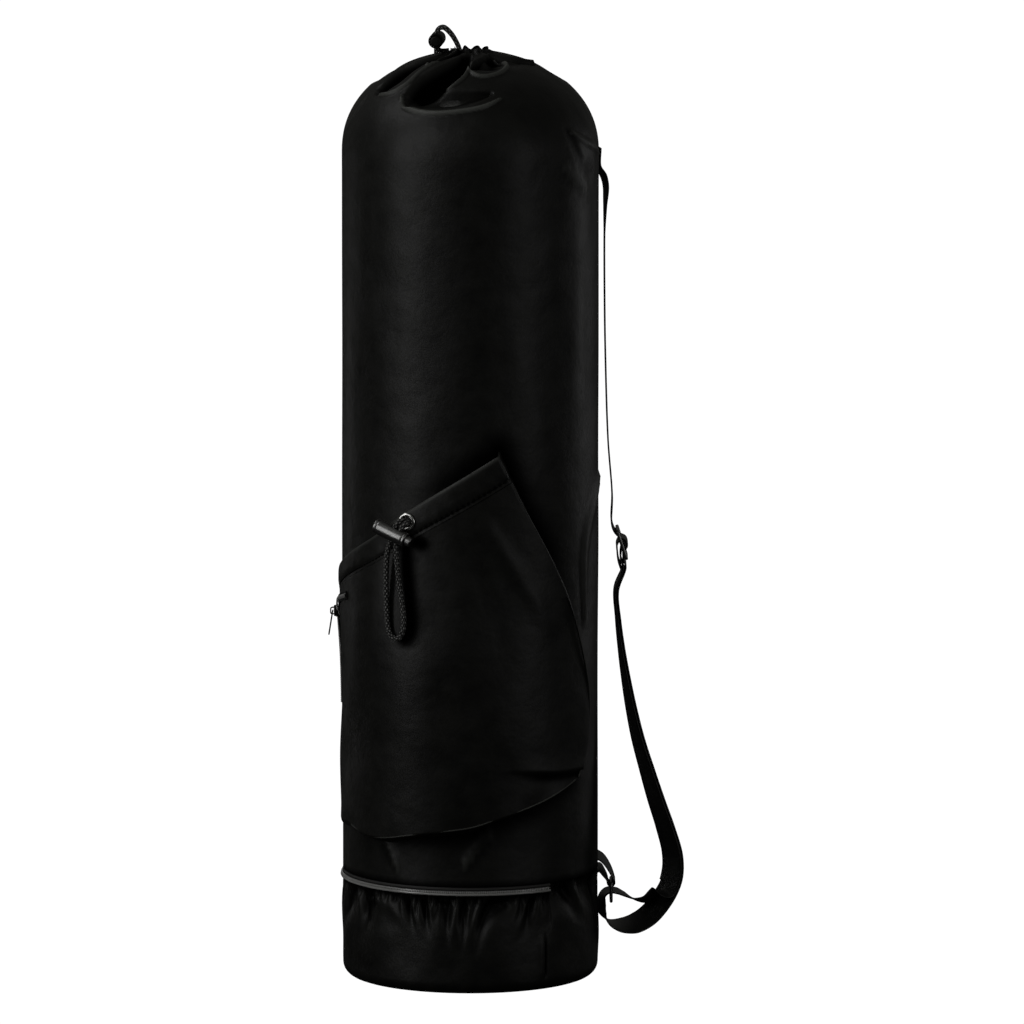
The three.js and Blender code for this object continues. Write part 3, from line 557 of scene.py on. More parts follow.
class Graph:
    """The node graph of one material."""

    def __init__(self, name: str) -> None:
        """Makes an empty material of that name."""
        self.material = bpy.data.materials.new(name)
        self.material.use_nodes = True
        self.tree = self.material.node_tree
        self.tree.nodes.clear()

    def node(
        self,
        kind: str,
        settings: dict | None = None,
        inputs: dict | None = None,
        output: int | str = 0,
    ) -> Link:
        """Adds a node and returns one of its outputs.

        Args:
            kind: Type of the node.
            settings: Its settings, set before its inputs.
            inputs: Values or links of its sockets by name or number.
            output: Name or number of the output that is returned.

        Returns:
            The output as a link.
        """
        made = self.tree.nodes.new(kind)
        for key, value in (settings or {}).items():
            setattr(made, key, value)
        for key, value in (inputs or {}).items():
            if isinstance(value, Link):
                self.tree.links.new(value.socket, made.inputs[key])
            else:
                made.inputs[key].default_value = value
        sockets = made.outputs or made.inputs
        return Link(self, sockets[output])

    def cloth_axes(self) -> tuple[Link, Link]:
        """The piece's own texture place in metres, across and along."""
        place = self.node("ShaderNodeUVMap", {"uv_map": CLOTH_UV})
        across = self.node("ShaderNodeSeparateXYZ", inputs={0: place}, output="X")
        along = Link(self, across.socket.node.outputs["Y"])
        return across, along

    def noise(self, scale: float, detail: float, roughness: float = 0.5) -> Link:
        """Noise from 0 to 1 in object coordinates, at a scale in repeats per metre."""
        place = self.node("ShaderNodeTexCoord", output="Object")
        inputs = {"Vector": place, "Scale": scale, "Detail": detail, "Roughness": roughness}
        return self.node("ShaderNodeTexNoise", {}, inputs)

    def blend(self, factor: Link, first: Link | Sequence[float], second: Sequence[float]) -> Link:
        """A colour mixed by a factor towards another one."""
        start = first if isinstance(first, Link) else (*first, 1.0)
        inputs = {0: factor, 6: start, 7: (*second, 1.0)}
        return self.node("ShaderNodeMix", {"data_type": "RGBA"}, inputs, output=2)

    def bump(self, height: Link, distance: float, normal: Link | None = None) -> Link:
        """A Bump node on a height from 0 to 1 over a distance in metres."""
        inputs = {"Height": height, "Distance": distance, "Strength": 1.0}
        if normal is not None:
            inputs["Normal"] = normal
        return self.node("ShaderNodeBump", {}, inputs)

    def surface(self, inputs: dict, shade: Link | None = None) -> bpy.types.Material:
        """Closes the graph with a Principled shader, mixed with black by a shade."""
        shader = self.node("ShaderNodeBsdfPrincipled", {}, inputs)
        if shade is not None:
            black = self.node("ShaderNodeBsdfDiffuse", {}, {"Color": DEEP_SHADE})
            shader = self.node("ShaderNodeMixShader", {}, {0: shade, 1: shader, 2: black})
        self.node("ShaderNodeOutputMaterial", {}, {"Surface": shader})
        return self.material


@dataclass(frozen=True)
class ClothFinish:
    """A woven cloth.

    Attributes:
        name: Name of the material.
        dark: Darker colour of its slow unevenness.
        light: Lighter colour of it.
        roughness: Middle roughness.
        specular: Specular level.
        pitch: Distance of its threads in metres.
        relief: Height of its threads in metres.
        crumple: Height of its slow crumpling in metres.
        ribbed: Whether its threads are slanted in rows, as in webbing.
        scuff_and_highlight: Colour of painted highlights on creases and edges, for a cloth that has them
            and painted shade in its folds.
    """

    name: str
    dark: tuple[float, float, float]
    light: tuple[float, float, float]
    roughness: float
    specular: float
    pitch: float
    relief: float
    crumple: float = 0.0
    ribbed: bool = False
    scuff_and_highlight: tuple[float, float, float] | None = None

    def material(self) -> bpy.types.Material:
        """Weave of crossing sines, slow crumple, slightly uneven colour and gloss.

        The weave's height is |sin(across)| on one set of threads and |sin(along)| on the
        other. A ribbed cloth has rows of slanted threads instead, as webbing has.
        """
        graph = Graph(self.name)
        across, along = graph.cloth_axes()
        turn = math.pi / self.pitch
        if self.ribbed:
            rows = (along * turn).sine().absolute()
            slant = ((across + along * 0.5) * (turn * 0.9)).sine().absolute()
            weave = rows * 0.6 + slant * 0.4
        else:
            weave = (across * turn).sine().absolute() * 0.5 + (along * turn).sine().absolute() * 0.5
        slow = graph.noise(16.0, 1.5, 0.5)
        patchy = graph.noise(75.0, 3.0, 0.6)
        normal = graph.bump(weave, self.relief)
        if self.crumple:
            soft = graph.noise(34.0, 1.0, 0.4)
            normal = graph.bump(slow * 0.5 + soft * 0.36 + patchy * 0.14, self.crumple, normal=normal)
        blotch = ((slow * 0.4 + patchy * 0.6 - 0.5) * 2.4 + 0.5).maths("MAXIMUM", 0.0)
        colour = graph.blend(blotch, self.dark, self.light)
        roughness = patchy * 0.14 + (self.roughness - 0.07)
        shade = None
        # Painted light from the point attribute: below 0 painted shade mixes the shader towards black,
        # above 0 the painted highlight colour is blended in
        if self.scuff_and_highlight:
            painted_light = graph.node("ShaderNodeAttribute", {"attribute_name": PAINTED_LIGHT}, output="Fac")
            shade = (painted_light * -1.0).maths("MAXIMUM", 0.0)
            colour = graph.blend(painted_light.maths("MAXIMUM", 0.0), colour, self.scuff_and_highlight)
        return graph.surface(
            {
                "Base Color": colour,
                "Roughness": roughness,
                "Normal": normal,
                "Specular IOR Level": self.specular,
            },
            shade,
        )


@dataclass(frozen=True)
class BraidFinish:
    """A braided cord: colour, and the pitch of its crossing yarns in metres."""

    name: str
    dark: tuple[float, float, float]
    light: tuple[float, float, float]
    pitch: float
    relief: float

    def material(self) -> bpy.types.Material:
        """Crossing diagonal yarns: the product of two slanted sines, in steps of the pitch."""
        graph = Graph(self.name)
        across, along = graph.cloth_axes()
        turn = math.pi / self.pitch
        right = ((across + along * 0.7) * turn).sine().absolute()
        left = ((across - along * 0.7) * turn).sine().absolute()
        braid = right * left
        # The crossing pattern is the braid's own; the light colour on the yarn crowns is a painted
        # highlight for their glints
        return graph.surface(
            {
                "Base Color": graph.blend(braid**2.6, self.dark, self.light),
                "Roughness": braid * -0.15 + 0.62,
                "Normal": graph.bump(braid, self.relief),
                "Specular IOR Level": 0.35,
                "Sheen Weight": 0.05,
            }
        )


@dataclass(frozen=True)
class MetalFinish:
    """A cast and plated metal: colour, gloss, and how much it is scuffed."""

    name: str
    clean: tuple[float, float, float]
    scuff_and_highlight: tuple[float, float, float]
    roughness: float

    def material(self) -> bpy.types.Material:
        """Fine pitting and soft scuffs from two noises in colour, gloss and relief."""
        graph = Graph(self.name)
        fine = graph.noise(2600.0, 3.0)
        scuff = graph.noise(420.0, 5.0, 0.62)
        return graph.surface(
            {
                "Base Color": graph.blend(scuff, self.clean, self.scuff_and_highlight),
                "Metallic": 1.0,
                "Roughness": scuff * 0.22 + (self.roughness - 0.1),
                "Normal": graph.bump(fine * 0.6 + scuff * 0.4, 0.00003),
            }
        )


@dataclass(frozen=True)
class PlasticFinish:
    """A moulded plastic: colour and gloss."""

    name: str
    dark: tuple[float, float, float]
    light: tuple[float, float, float]
    roughness: float
    specular: float

    def material(self) -> bpy.types.Material:
        """Slightly uneven gloss from one noise."""
        graph = Graph(self.name)
        uneven = graph.noise(900.0, 3.0)
        return graph.surface(
            {
                "Base Color": graph.blend(uneven, self.dark, self.light),
                "Roughness": uneven * 0.16 + (self.roughness - 0.08),
                "Normal": graph.bump(uneven, 0.00002),
                "Specular IOR Level": self.specular,
            }
        )


Finish = ClothFinish | BraidFinish | MetalFinish | PlasticFinish

NYLON = ClothFinish(
    "nylon", (0.0016, 0.0017, 0.0013), (0.0085, 0.0086, 0.0072), 0.47, 0.32, 0.00045, 0.000012,
    crumple=0.0035, scuff_and_highlight=(0.1, 0.104, 0.095),
)
WEBBING = ClothFinish(
    "webbing", (0.004, 0.004, 0.0036), (0.017, 0.017, 0.0158), 0.42, 0.6, 0.0013, 0.00011, ribbed=True
)
# Its highlight colour paints the sheen on the tape's raised woven edge
ZIP_TAPE = ClothFinish(
    "zip_tape", (0.002, 0.002, 0.002), (0.006, 0.006, 0.006), 0.55, 0.3, 0.0011, 0.00012, ribbed=True,
    scuff_and_highlight=(0.05, 0.05, 0.048),
)
THREAD = PlasticFinish("thread", (0.0008, 0.0008, 0.0008), (0.002, 0.002, 0.002), 0.85, 0.05)
# The coil's base colour is raised to light grey as a painted highlight for its bright glossy reflection
COIL = PlasticFinish("zip_coil", (0.2, 0.2, 0.195), (0.36, 0.36, 0.35), 0.2, 1.0)
CORD = BraidFinish("cord_braid", (0.0012, 0.0012, 0.0012), (0.3, 0.3, 0.29), 0.0028, 0.0008)
GUNMETAL = MetalFinish("gunmetal", (0.16, 0.16, 0.165), (0.26, 0.26, 0.25), 0.3)
DARK_METAL = MetalFinish("dark_metal", (0.012, 0.012, 0.012), (0.035, 0.035, 0.034), 0.5)
NICKEL = MetalFinish("nickel", (0.72, 0.72, 0.7), (0.5, 0.5, 0.48), 0.2)


class Workshop:
    """Turns shapes into finished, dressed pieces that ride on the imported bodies."""

    def __init__(self) -> None:
        """Starts with no materials."""
        self.materials: dict[str, bpy.types.Material] = {}

    def material(self, finish: Finish) -> bpy.types.Material:
        """The one material of a finish."""
        if finish.name not in self.materials:
            self.materials[finish.name] = finish.material()
        return self.materials[finish.name]

    def piece(
        self,
        name: str,
        shape: Shape,
        finish: Finish,
        body: Body = Body.BAG,
        stands_for: Sequence[str] = (),
        weld: bool = False,
        sharp_angle: float = 50.0,
    ) -> bpy.types.Object:
        """Makes one piece of the object.

        Args:
            name: Name of the piece.
            shape: Its surface.
            finish: Its finish.
            body: The body it rides on.
            stands_for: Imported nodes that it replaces.
            weld: Whether points that coincide are joined.
            sharp_angle: Edges sharper than this stay hard, in degrees.

        Returns:
            The piece's object.
        """
        mesh = build_mesh(name, shape, weld, sharp_angle)
        made = bpy.data.objects.new(name, mesh)
        bpy.context.scene.collection.objects.link(made)
        mesh.materials.append(self.material(finish))
        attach(made, body.value)
        if stands_for:
            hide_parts(*stands_for)
        LOG.info("%s: %d points, %s", name, len(mesh.vertices), finish.name)
        return made


# The bag's pieces


@dataclass(frozen=True)
class Fold:
    """A valley of the gathered dome, from its foot's azimuth to where it enters the mouth.

    Attributes:
        foot: Azimuth of its lower end.
        head: Azimuth at the mouth.
        width: Half its width in degrees at the foot.
        start: Share of the climb from shoulder to mouth where it begins.
        depth: Depth as a share of the dome's height.
    """

    foot: float
    head: float
    width: float
    start: float
    depth: float


@dataclass(frozen=True)
class Dent:
    """A soft dent or ridge of the tube: azimuth, height, half sizes, depth and lean."""

    azimuth: float
    height: float
    half_width: float
    half_height: float
    depth: float
    lean: float = 0.0


@dataclass(frozen=True)
class Furrow:
    """A hollow or a raised crease of the cloth along a line.

    Attributes:
        line: Azimuth, share of the climb, height in metres and half width in metres of each
            corner. The height counts where the climb is 0.
        depth: How deep it goes inwards, or outwards if negative.
        shade: How dark its painted shade is inside, or how bright its painted highlight is if it is a
            crease.
    """

    line: tuple[tuple[float, float, float, float], ...]
    depth: float
    shade: float = 1.0


# Hollows of the cloth, with painted shade inside
HOLLOWS = (
    Furrow(
        ((-62, 0.5, 0, 0.01), (-61, 0.58, 0, 0.013), (-62, 0.68, 0, 0.012), (-60, 0.8, 0, 0.008),
         (-54, 0.96, 0, 0.004)),
        0.01,
    ),
    Furrow(((-44, 0.8, 0, 0.004), (-40, 0.88, 0, 0.005), (-34, 0.99, 0, 0.004)), 0.006),
    Furrow(
        ((-34, 0.43, 0, 0.0095), (-30, 0.5, 0, 0.015), (-25, 0.58, 0, 0.018), (-19, 0.68, 0, 0.0155),
         (-12, 0.79, 0, 0.011), (-6, 0.93, 0, 0.006)),
        0.015,
    ),
    Furrow(
        ((-26, 0.43, 0, 0.011), (-14, 0.44, 0, 0.012), (0, 0.465, 0, 0.009), (12, 0.49, 0, 0.003)),
        0.0045, 0.5,
    ),
    Furrow(((6, 0.78, 0, 0.009), (20, 0.8, 0, 0.0125), (36, 0.87, 0, 0.009)), 0.012),
    Furrow(((47, 0.93, 0, 0.005), (60, 0.84, 0, 0.009), (74, 0.74, 0, 0.005)), 0.003, 0.5),
)
# Creases of the cloth: raised ones carry a painted highlight, sunk ones painted shade
CREASES = (
    Furrow(
        ((-66, 0.47, 0, 0.0014), (-58, 0.44, 0, 0.0026), (-49, 0.47, 0, 0.003), (-43, 0.56, 0, 0.0026),
         (-42, 0.7, 0, 0.0022), (-38, 0.85, 0, 0.0016)),
        -0.002, 0.5,
    ),
    Furrow(((-46, 0.76, 0, 0.0014), (-45, 0.84, 0, 0.002), (-49, 0.97, 0, 0.002)), -0.0016, 0.7),
    Furrow(
        ((-41, 0.45, 0, 0.0012), (-37, 0.385, 0, 0.0026), (-31, 0.35, 0, 0.0034), (-20, 0.33, 0, 0.0032),
         (-8, 0.34, 0, 0.003), (6, 0.375, 0, 0.0026), (17, 0.44, 0, 0.0012)),
        -0.0022, 0.75,
    ),
    Furrow(
        ((-14, 0.53, 0, 0.0014), (-8, 0.59, 0, 0.0026), (-3, 0.67, 0, 0.0026), (1, 0.85, 0, 0.002)),
        -0.0022, 0.45,
    ),
    Furrow(
        ((-1, 0.71, 0, 0.0014), (9, 0.645, 0, 0.0028), (25, 0.68, 0, 0.0028), (42, 0.79, 0, 0.0024),
         (48, 0.9, 0, 0.0014)),
        -0.0022, 0.62,
    ),
    Furrow(((52, 0.95, 0, 0.003), (62, 0.87, 0, 0.004), (78, 0.74, 0, 0.003)), -0.0035, 0.3),
    Furrow(((-72, 0.4, 0, 0.003), (-73, 0.28, 0, 0.0045), (-77, 0.16, 0, 0.003)), -0.0006, 0.06),
    Furrow(((54, 0.16, 0, 0.003), (64, 0.09, 0, 0.0045), (84, 0, 0.616, 0.004)), -0.0012, 0.25),
    Furrow(((47, 0, 0.612, 0.004), (53, 0, 0.604, 0.006), (64, 0, 0.592, 0.005)), -0.0012, 0.2),
    Furrow(((50, 0, 0.64, 0.006), (60, 0, 0.612, 0.007), (72, 0, 0.606, 0.005)), 0.001, 0.35),
    Furrow(
        ((83, 0, 0.375, 0.005), (71, 0, 0.352, 0.009), (63, 0, 0.325, 0.009), (62, 0, 0.275, 0.004)),
        -0.002, 0.2,
    ),
    Furrow(((-41, 0, 0.113, 0.005), (-34, 0, 0.094, 0.004)), -0.0022, 0.3),
    Furrow(((8, 0, 0.12, 0.006), (-2, 0, 0.1, 0.005)), -0.0022, 0.3),
)


@dataclass
class BagBody:
    """The straight cloth tube with its gathered dome."""

    radius: float = 0.095
    wall: float = 0.0016
    seam: float = 0.08115
    shoulder: float = 0.616
    dome: float = 0.075
    fullness: float = 2.2
    mouth: float = 0.013
    lip: float = 0.003
    ruffles: int = 9
    ruffle_depth: float = 0.0015
    slack_depth: float = 0.00035
    seam_shade: float = 0.9
    seam_shade_reach: float = 0.0017
    columns: int = 410
    tube_rows: int = 100
    dome_rows: int = 114
    shades: list[tuple[Array, float]] = field(default_factory=list)
    folds: tuple[Fold, ...] = (
        Fold(-92, -86, 9, 0.5, 0.06),
        Fold(47, 62, 12, 0.72, 0.05),
        Fold(98, 100, 14, 0.52, 0.11),
        Fold(136, 140, 15, 0.36, 0.15),
        Fold(178, 181, 14, 0.46, 0.12),
        Fold(216, 220, 15, 0.34, 0.16),
        Fold(258, 256, 13, 0.5, 0.12),
    )
    dents: tuple[Dent, ...] = (
        Dent(76, 0.579, 9, 0.031, 0.0012),
        Dent(71, 0.625, 5, 0.022, -0.0012, -0.5),
        Dent(63, 0.6, 5, 0.02, -0.0008, -0.8),
        Dent(80, 0.326, 8, 0.068, -0.001),
        Dent(58, 0.49, 7, 0.06, -0.0007),
        Dent(-20, 0.505, 14, 0.1, 0.0006),
        Dent(-47, 0.57, 10, 0.09, 0.0005),
        Dent(4, 0.43, 9, 0.11, -0.0004),
    )

    def fold_depth(self, azimuth: Array, climb: Array) -> Array:
        """Inward depth of the dome's folds.

        Each fold is a bell across its run, which moves evenly from foot to head, times a
        quick rise at its foot and a fall near the mouth, where the cloth is drawn together.
        """
        depth = np.zeros(np.broadcast(azimuth, climb).shape)
        for fold in self.folds:
            reach = np.clip((climb - fold.start) / (1 - fold.start), 0, 1)
            middle = fold.foot + wrapped(fold.head, fold.foot) * reach
            width = fold.width * (1.0 - 0.25 * reach)
            place = wrapped(azimuth - middle, 0) / width
            across = bell(place, 2.4)
            rise = smooth(climb, fold.start - 0.03, fold.start + 0.13)
            along = rise * (1 - 0.72 * smooth(climb, 0.72, 1))
            rim = bell((np.abs(place) - 1.5) * 2.2) * rise * (1 - smooth(climb, 0.6, 0.95))
            depth += fold.depth * self.dome * (across * along - 0.1 * rim)
        return depth

    def ideal(self, azimuth: Array, climb: Array, height: Array) -> Array:
        """Points of the smooth body: on the dome where the climb is above 0, else on the tube."""
        angle = climb * math.acos(self.mouth / self.radius)
        up = np.maximum(np.sin(angle), 1e-6) ** (2 / self.fullness)
        height = np.where(climb > 0, self.shoulder + self.dome * up, height)
        return around(azimuth, self.radius * np.cos(angle), height)

    def furrows(self, azimuth: Array, climb: Array, height: Array) -> tuple[Array, Array]:
        """Inward depth of all furrows, and their painted shade and painted highlight.

        A furrow falls smoothly from its half width to its depth at its line. Near the mouth
        it is less deep, since the cloth is drawn together there.
        """
        points = self.ideal(azimuth, climb, height)
        depth, painted_light = np.zeros(points.shape[:-1]), np.zeros(points.shape[:-1])
        upper = 1 - smooth(climb, 0.84, 1)
        for furrow in (*HOLLOWS, *CREASES):
            rows = uniform_spline(np.array(furrow.line, float), 24)
            corners = self.ideal(rows[:, 0], rows[:, 1], rows[:, 2])
            away, half = distance_to_line(points, np.column_stack([corners, rows[:, 3]]))
            inside = smooth(1 - away / half[..., 0], 0, 0.95)
            depth += furrow.depth * inside * (0.4 + 0.6 * upper)
            # Painted shade in hollows and a painted highlight on raised creases
            painted_light -= math.copysign(furrow.shade, furrow.depth) * smooth(inside, 0.05, 0.5)
        return depth, np.clip(painted_light, -1, 1)

    def shaded(self, points: Array) -> Array:
        """How dark the painted shade is on the cloth close by the pocket that stands off it, and at the
        seam.
        """
        shade = self.seam_shade * bell((points[..., 2] - self.seam) / self.seam_shade_reach)
        for line, reach in self.shades:
            away, weight = distance_to_line(points, line)
            shade = np.maximum(shade, weight[..., 0] * bell(away / reach))
        return shade

    def dent_depth(self, azimuth: Array, height: Array) -> Array:
        """Inward depth of the tube's soft dents, each a bell both ways with a lean."""
        depth = np.zeros(np.broadcast(azimuth, height).shape)
        for dent in self.dents:
            up = (height - dent.height) / dent.half_height
            across = wrapped(azimuth, dent.azimuth) / dent.half_width - dent.lean * up
            depth += dent.depth * bell(across) * bell(up)
        return depth

    def slack(self, azimuth: Array, height: Array) -> Array:
        """Slow unevenness of the hanging cloth, as a few long waves round and up the tube."""
        turn = np.radians(azimuth)
        wave = 0.5 * np.sin(3 * turn + 9 * height + 0.4) + 0.35 * np.sin(7 * turn - 13 * height)
        wave = wave + 0.3 * np.sin(11 * turn + 23 * height + 1.9) * np.sin(17 * height)
        return self.slack_depth * wave

    def outer_profile(self) -> tuple[Array, Array, Array, Array]:
        """The outer profile: radius, height, climb and outward direction at each row.

        The tube is straight. The dome is a superellipse, r = R cos(t) and
        z = H sin(t)^(2 / fullness), and the lip stands upright on its end.
        """
        tube = np.linspace(self.seam, self.shoulder, self.tube_rows, endpoint=False)
        mouth_angle = math.acos(self.mouth / self.radius)
        climb = np.linspace(0, 1, self.dome_rows + 1)
        angle = climb * mouth_angle
        across = np.cos(angle)
        up = np.maximum(np.sin(angle), 1e-6) ** (2 / self.fullness)
        slope = np.stack([across / self.radius, up ** (self.fullness - 1) / self.dome], axis=-1)
        lip = self.shoulder + self.dome * up[-1] + np.linspace(0.25, 1, 4) * self.lip
        tube_radius, lip_radius = np.full(self.tube_rows, self.radius), np.full(4, self.mouth)
        radius = np.concatenate([tube_radius, self.radius * across, lip_radius])
        height = np.concatenate([tube, self.shoulder + self.dome * up, lip])
        climbs = np.concatenate([np.zeros(self.tube_rows), climb, np.ones(4)])
        tube_out = np.tile([1.0, 0.0], (self.tube_rows, 1))
        dome_out = unit(slope)
        return radius, height, climbs, np.vstack([tube_out, dome_out, np.tile(dome_out[-1], (4, 1))])

    def shape(self) -> Shape:
        """The closed shell: the outer rows up, then the inner rows down, at every azimuth."""
        radius, height, climb, outward = self.outer_profile()
        inner = np.unique(np.linspace(0, len(radius) - 1, 15).astype(int))[::-1]
        rows = np.concatenate([np.arange(len(radius)), inner])
        inside = np.concatenate([np.zeros(len(radius)), np.full(len(inner), self.wall)])[:, None]
        azimuth = np.linspace(0, 360, self.columns + 1)[None, :]
        r, z, c = radius[rows][:, None], height[rows][:, None], climb[rows][:, None]
        out_r, out_z = outward[rows, 0][:, None], outward[rows, 1][:, None]
        furrows, painted_light = self.furrows(azimuth, np.where(z < self.shoulder, 0 * c, c), z)
        # Painted shade on the tube beside the pocket and at the seam
        painted_light = np.clip(painted_light - self.shaded(self.ideal(azimuth, 0 * c, z)) * (z < self.shoulder), -1, 1)
        push = self.fold_depth(azimuth, c) + self.dent_depth(azimuth, z) + furrows
        push = push + self.slack(azimuth, z) * (1 - c) * smooth(z, self.seam, self.seam + 0.03) + inside
        waves = np.cos(np.radians((azimuth + 90) * self.ruffles))
        ruffle = self.ruffle_depth * smooth(c, 0.8, 1) * waves
        points = around(azimuth, r - push * out_r + ruffle, z - push * out_z + 0.4 * ruffle)
        run = run_lengths(np.stack([radius, height], axis=-1))[rows]
        uv = uv_grid(np.radians(azimuth[0]) * self.radius, np.append(run, run[-1] + self.wall))
        shape = grid_shape(points[:, :-1], uv, wrap_rows=True, wrap_columns=True)
        shape.painted_light = painted_light[:, :-1]
        return shape

    def build(self, workshop: Workshop) -> None:
        """Makes the body's piece."""
        shape = self.shape()
        workshop.piece("body_cloth", shape, NYLON, stands_for=["body_panel"], sharp_angle=80)


@dataclass
class ZipSlider:
    """A zip's slider body, its bridge and its hanging pull, in a frame on the tape's face."""

    length: float = 0.009
    width: float = 0.0065
    height: float = 0.0032
    groove_width: float = 0.0045
    groove_depth: float = 0.0013
    bridge_rise: float = 0.003
    bridge_bar: float = 0.001
    bridge_width: float = 0.0016
    bridge_length: float = 0.006
    pull_length: float = 0.019
    pull_width: float = 0.006
    pull_wall: float = 0.001
    cross_bar: float = 0.0012
    window: float = 0.0037
    finish: Finish = GUNMETAL

    def body_shape(self, zip_turn: float) -> Shape:
        """Two rails joined by a waisted top plate, and the bridge as an arched strip."""
        side = (self.width - self.groove_width) / 2
        plate_height = self.height - self.groove_depth
        x = np.linspace(-1, 1, 25)
        waist = 1 - 0.16 * bell(x / 0.45)
        edge = np.sqrt(np.maximum(1 - np.abs(x) ** 5, 0.0)) * waist
        outline = np.vstack(
            [
                np.stack([x * self.length / 2, -edge * self.width / 2], axis=-1),
                np.stack([x[::-1] * self.length / 2, edge[::-1] * self.width / 2], axis=-1)[1:-1],
            ]
        )
        shape = plate_shape([outline], plate_height, 0.0005)
        shape.points[:, 2] += self.height - plate_height / 2
        rail_height = self.groove_depth + 0.0006
        rail_outline = rounded_box(self.length * 0.86, side, side * 0.45)
        for sign in (-1, 1):
            rail = plate_shape([rail_outline], rail_height, 0.0003)
            rail.points[:, 1] += sign * (self.width / 2 - side / 2 - 0.0001)
            rail.points[:, 2] += rail_height / 2
            shape = shape.joined(rail)
        turn = Matrix.Rotation(math.radians(zip_turn), 4, "Z")
        shape = shape.placed(np.array(turn))
        arch = np.linspace(0, math.pi, 21)
        reach = self.bridge_length / 2 - self.bridge_bar / 2
        lift = self.bridge_rise - self.bridge_bar / 2 + 0.0008
        y = reach * np.sign(np.cos(arch)) * np.abs(np.cos(arch)) ** 0.45
        z = self.height - 0.0008 + lift * np.sin(arch) ** 0.45
        path = np.stack([0 * y, y, z], axis=-1)
        sides = np.tile([1.0, 0.0, 0.0], (len(path), 1))
        ups = np.cross(unit(np.gradient(path, axis=0)), sides)
        section = rounded_box(self.bridge_width, self.bridge_bar, 0.0004)
        return shape.joined(tube_shape(path, sides, ups, section))

    def pull_shape(self, lean: float) -> Shape:
        """A flat tab with rounded ends and a window, leaning out from the cloth."""
        outer = rounded_box(self.pull_width, self.pull_length, 0.0024, 6)
        outer[:, 1] += self.cross_bar / 2 - self.pull_length / 2
        waist = 1 - 0.2 * bell((outer[:, 1] + 0.0062) / 0.0022)
        outer[:, 0] *= waist
        window = rounded_box(self.pull_width - 2 * self.cross_bar, self.window, 0.0009)[::-1]
        window[:, 1] -= (self.cross_bar + self.window) / 2
        low = rounded_box(self.pull_width * 0.45, self.pull_length * 0.32, 0.0012)[::-1]
        low[:, 1] -= self.pull_length * 0.66
        tab = plate_shape([outer, window, low], self.pull_wall, 0.0003)
        turn = Matrix.Rotation(-math.radians(lean), 4, "X")
        place = Matrix.Translation((0, 0, self.height + (self.bridge_rise - self.bridge_bar) / 2)) @ turn
        return tab.placed(np.array(place))

    def build(
        self,
        workshop: Workshop,
        name: str,
        frame: Array,
        zip_turn: float,
        lean: float,
        body: Body,
    ) -> None:
        """Makes the slider and its pull.

        Args:
            workshop: What makes the pieces.
            name: First part of the pieces' names.
            frame: Where the slider sits.
            zip_turn: Turn of the zip's run in that frame, in degrees.
            lean: How far the pull leans out from the cloth, in degrees.
            body: The body that the pull rides on.
        """
        for part, stands_for, shape, rides in (
            ("slider_body", "slider", self.body_shape(zip_turn), Body.BAG),
            ("pull_tab", "pull", self.pull_shape(lean), body),
        ):
            workshop.piece(
                f"{name}_{part}",
                shape.placed(frame),
                self.finish,
                body=rides,
                stands_for=[f"{name}_{stands_for}"],
                sharp_angle=40,
            )


# Distance from tooth to tooth of both coils
COIL_PITCH = 0.0014


def coil_teeth(path: Array, outwards: Array, width: float, height: float) -> Shape:
    """A zip's coil: evenly spaced arched teeth along a path."""
    places = np.arange(COIL_PITCH, run_lengths(path)[-1] - COIL_PITCH / 2, COIL_PITCH)
    along = unit(at_lengths(path, places, np.gradient(path, axis=0)))
    out = unit(at_lengths(path, places, outwards))
    turn = np.linspace(0, math.pi, 7)
    step, across = 0.18 * COIL_PITCH * np.cos(turn), np.cos(turn) * (width / 2 - 0.0003)
    bow = np.stack([step, across, 0.8 * height * (np.sin(turn) - 0.5)], axis=-1)
    sides = np.tile([1.0, 0.0, 0.0], (7, 1))
    ups = np.cross(unit(np.gradient(bow, axis=0)), sides)
    tooth = tube_shape(bow, sides, ups, circle(COIL_PITCH * 0.36, 6))
    return copies_shape(tooth, at_lengths(path, places), along, np.cross(out, along), out)


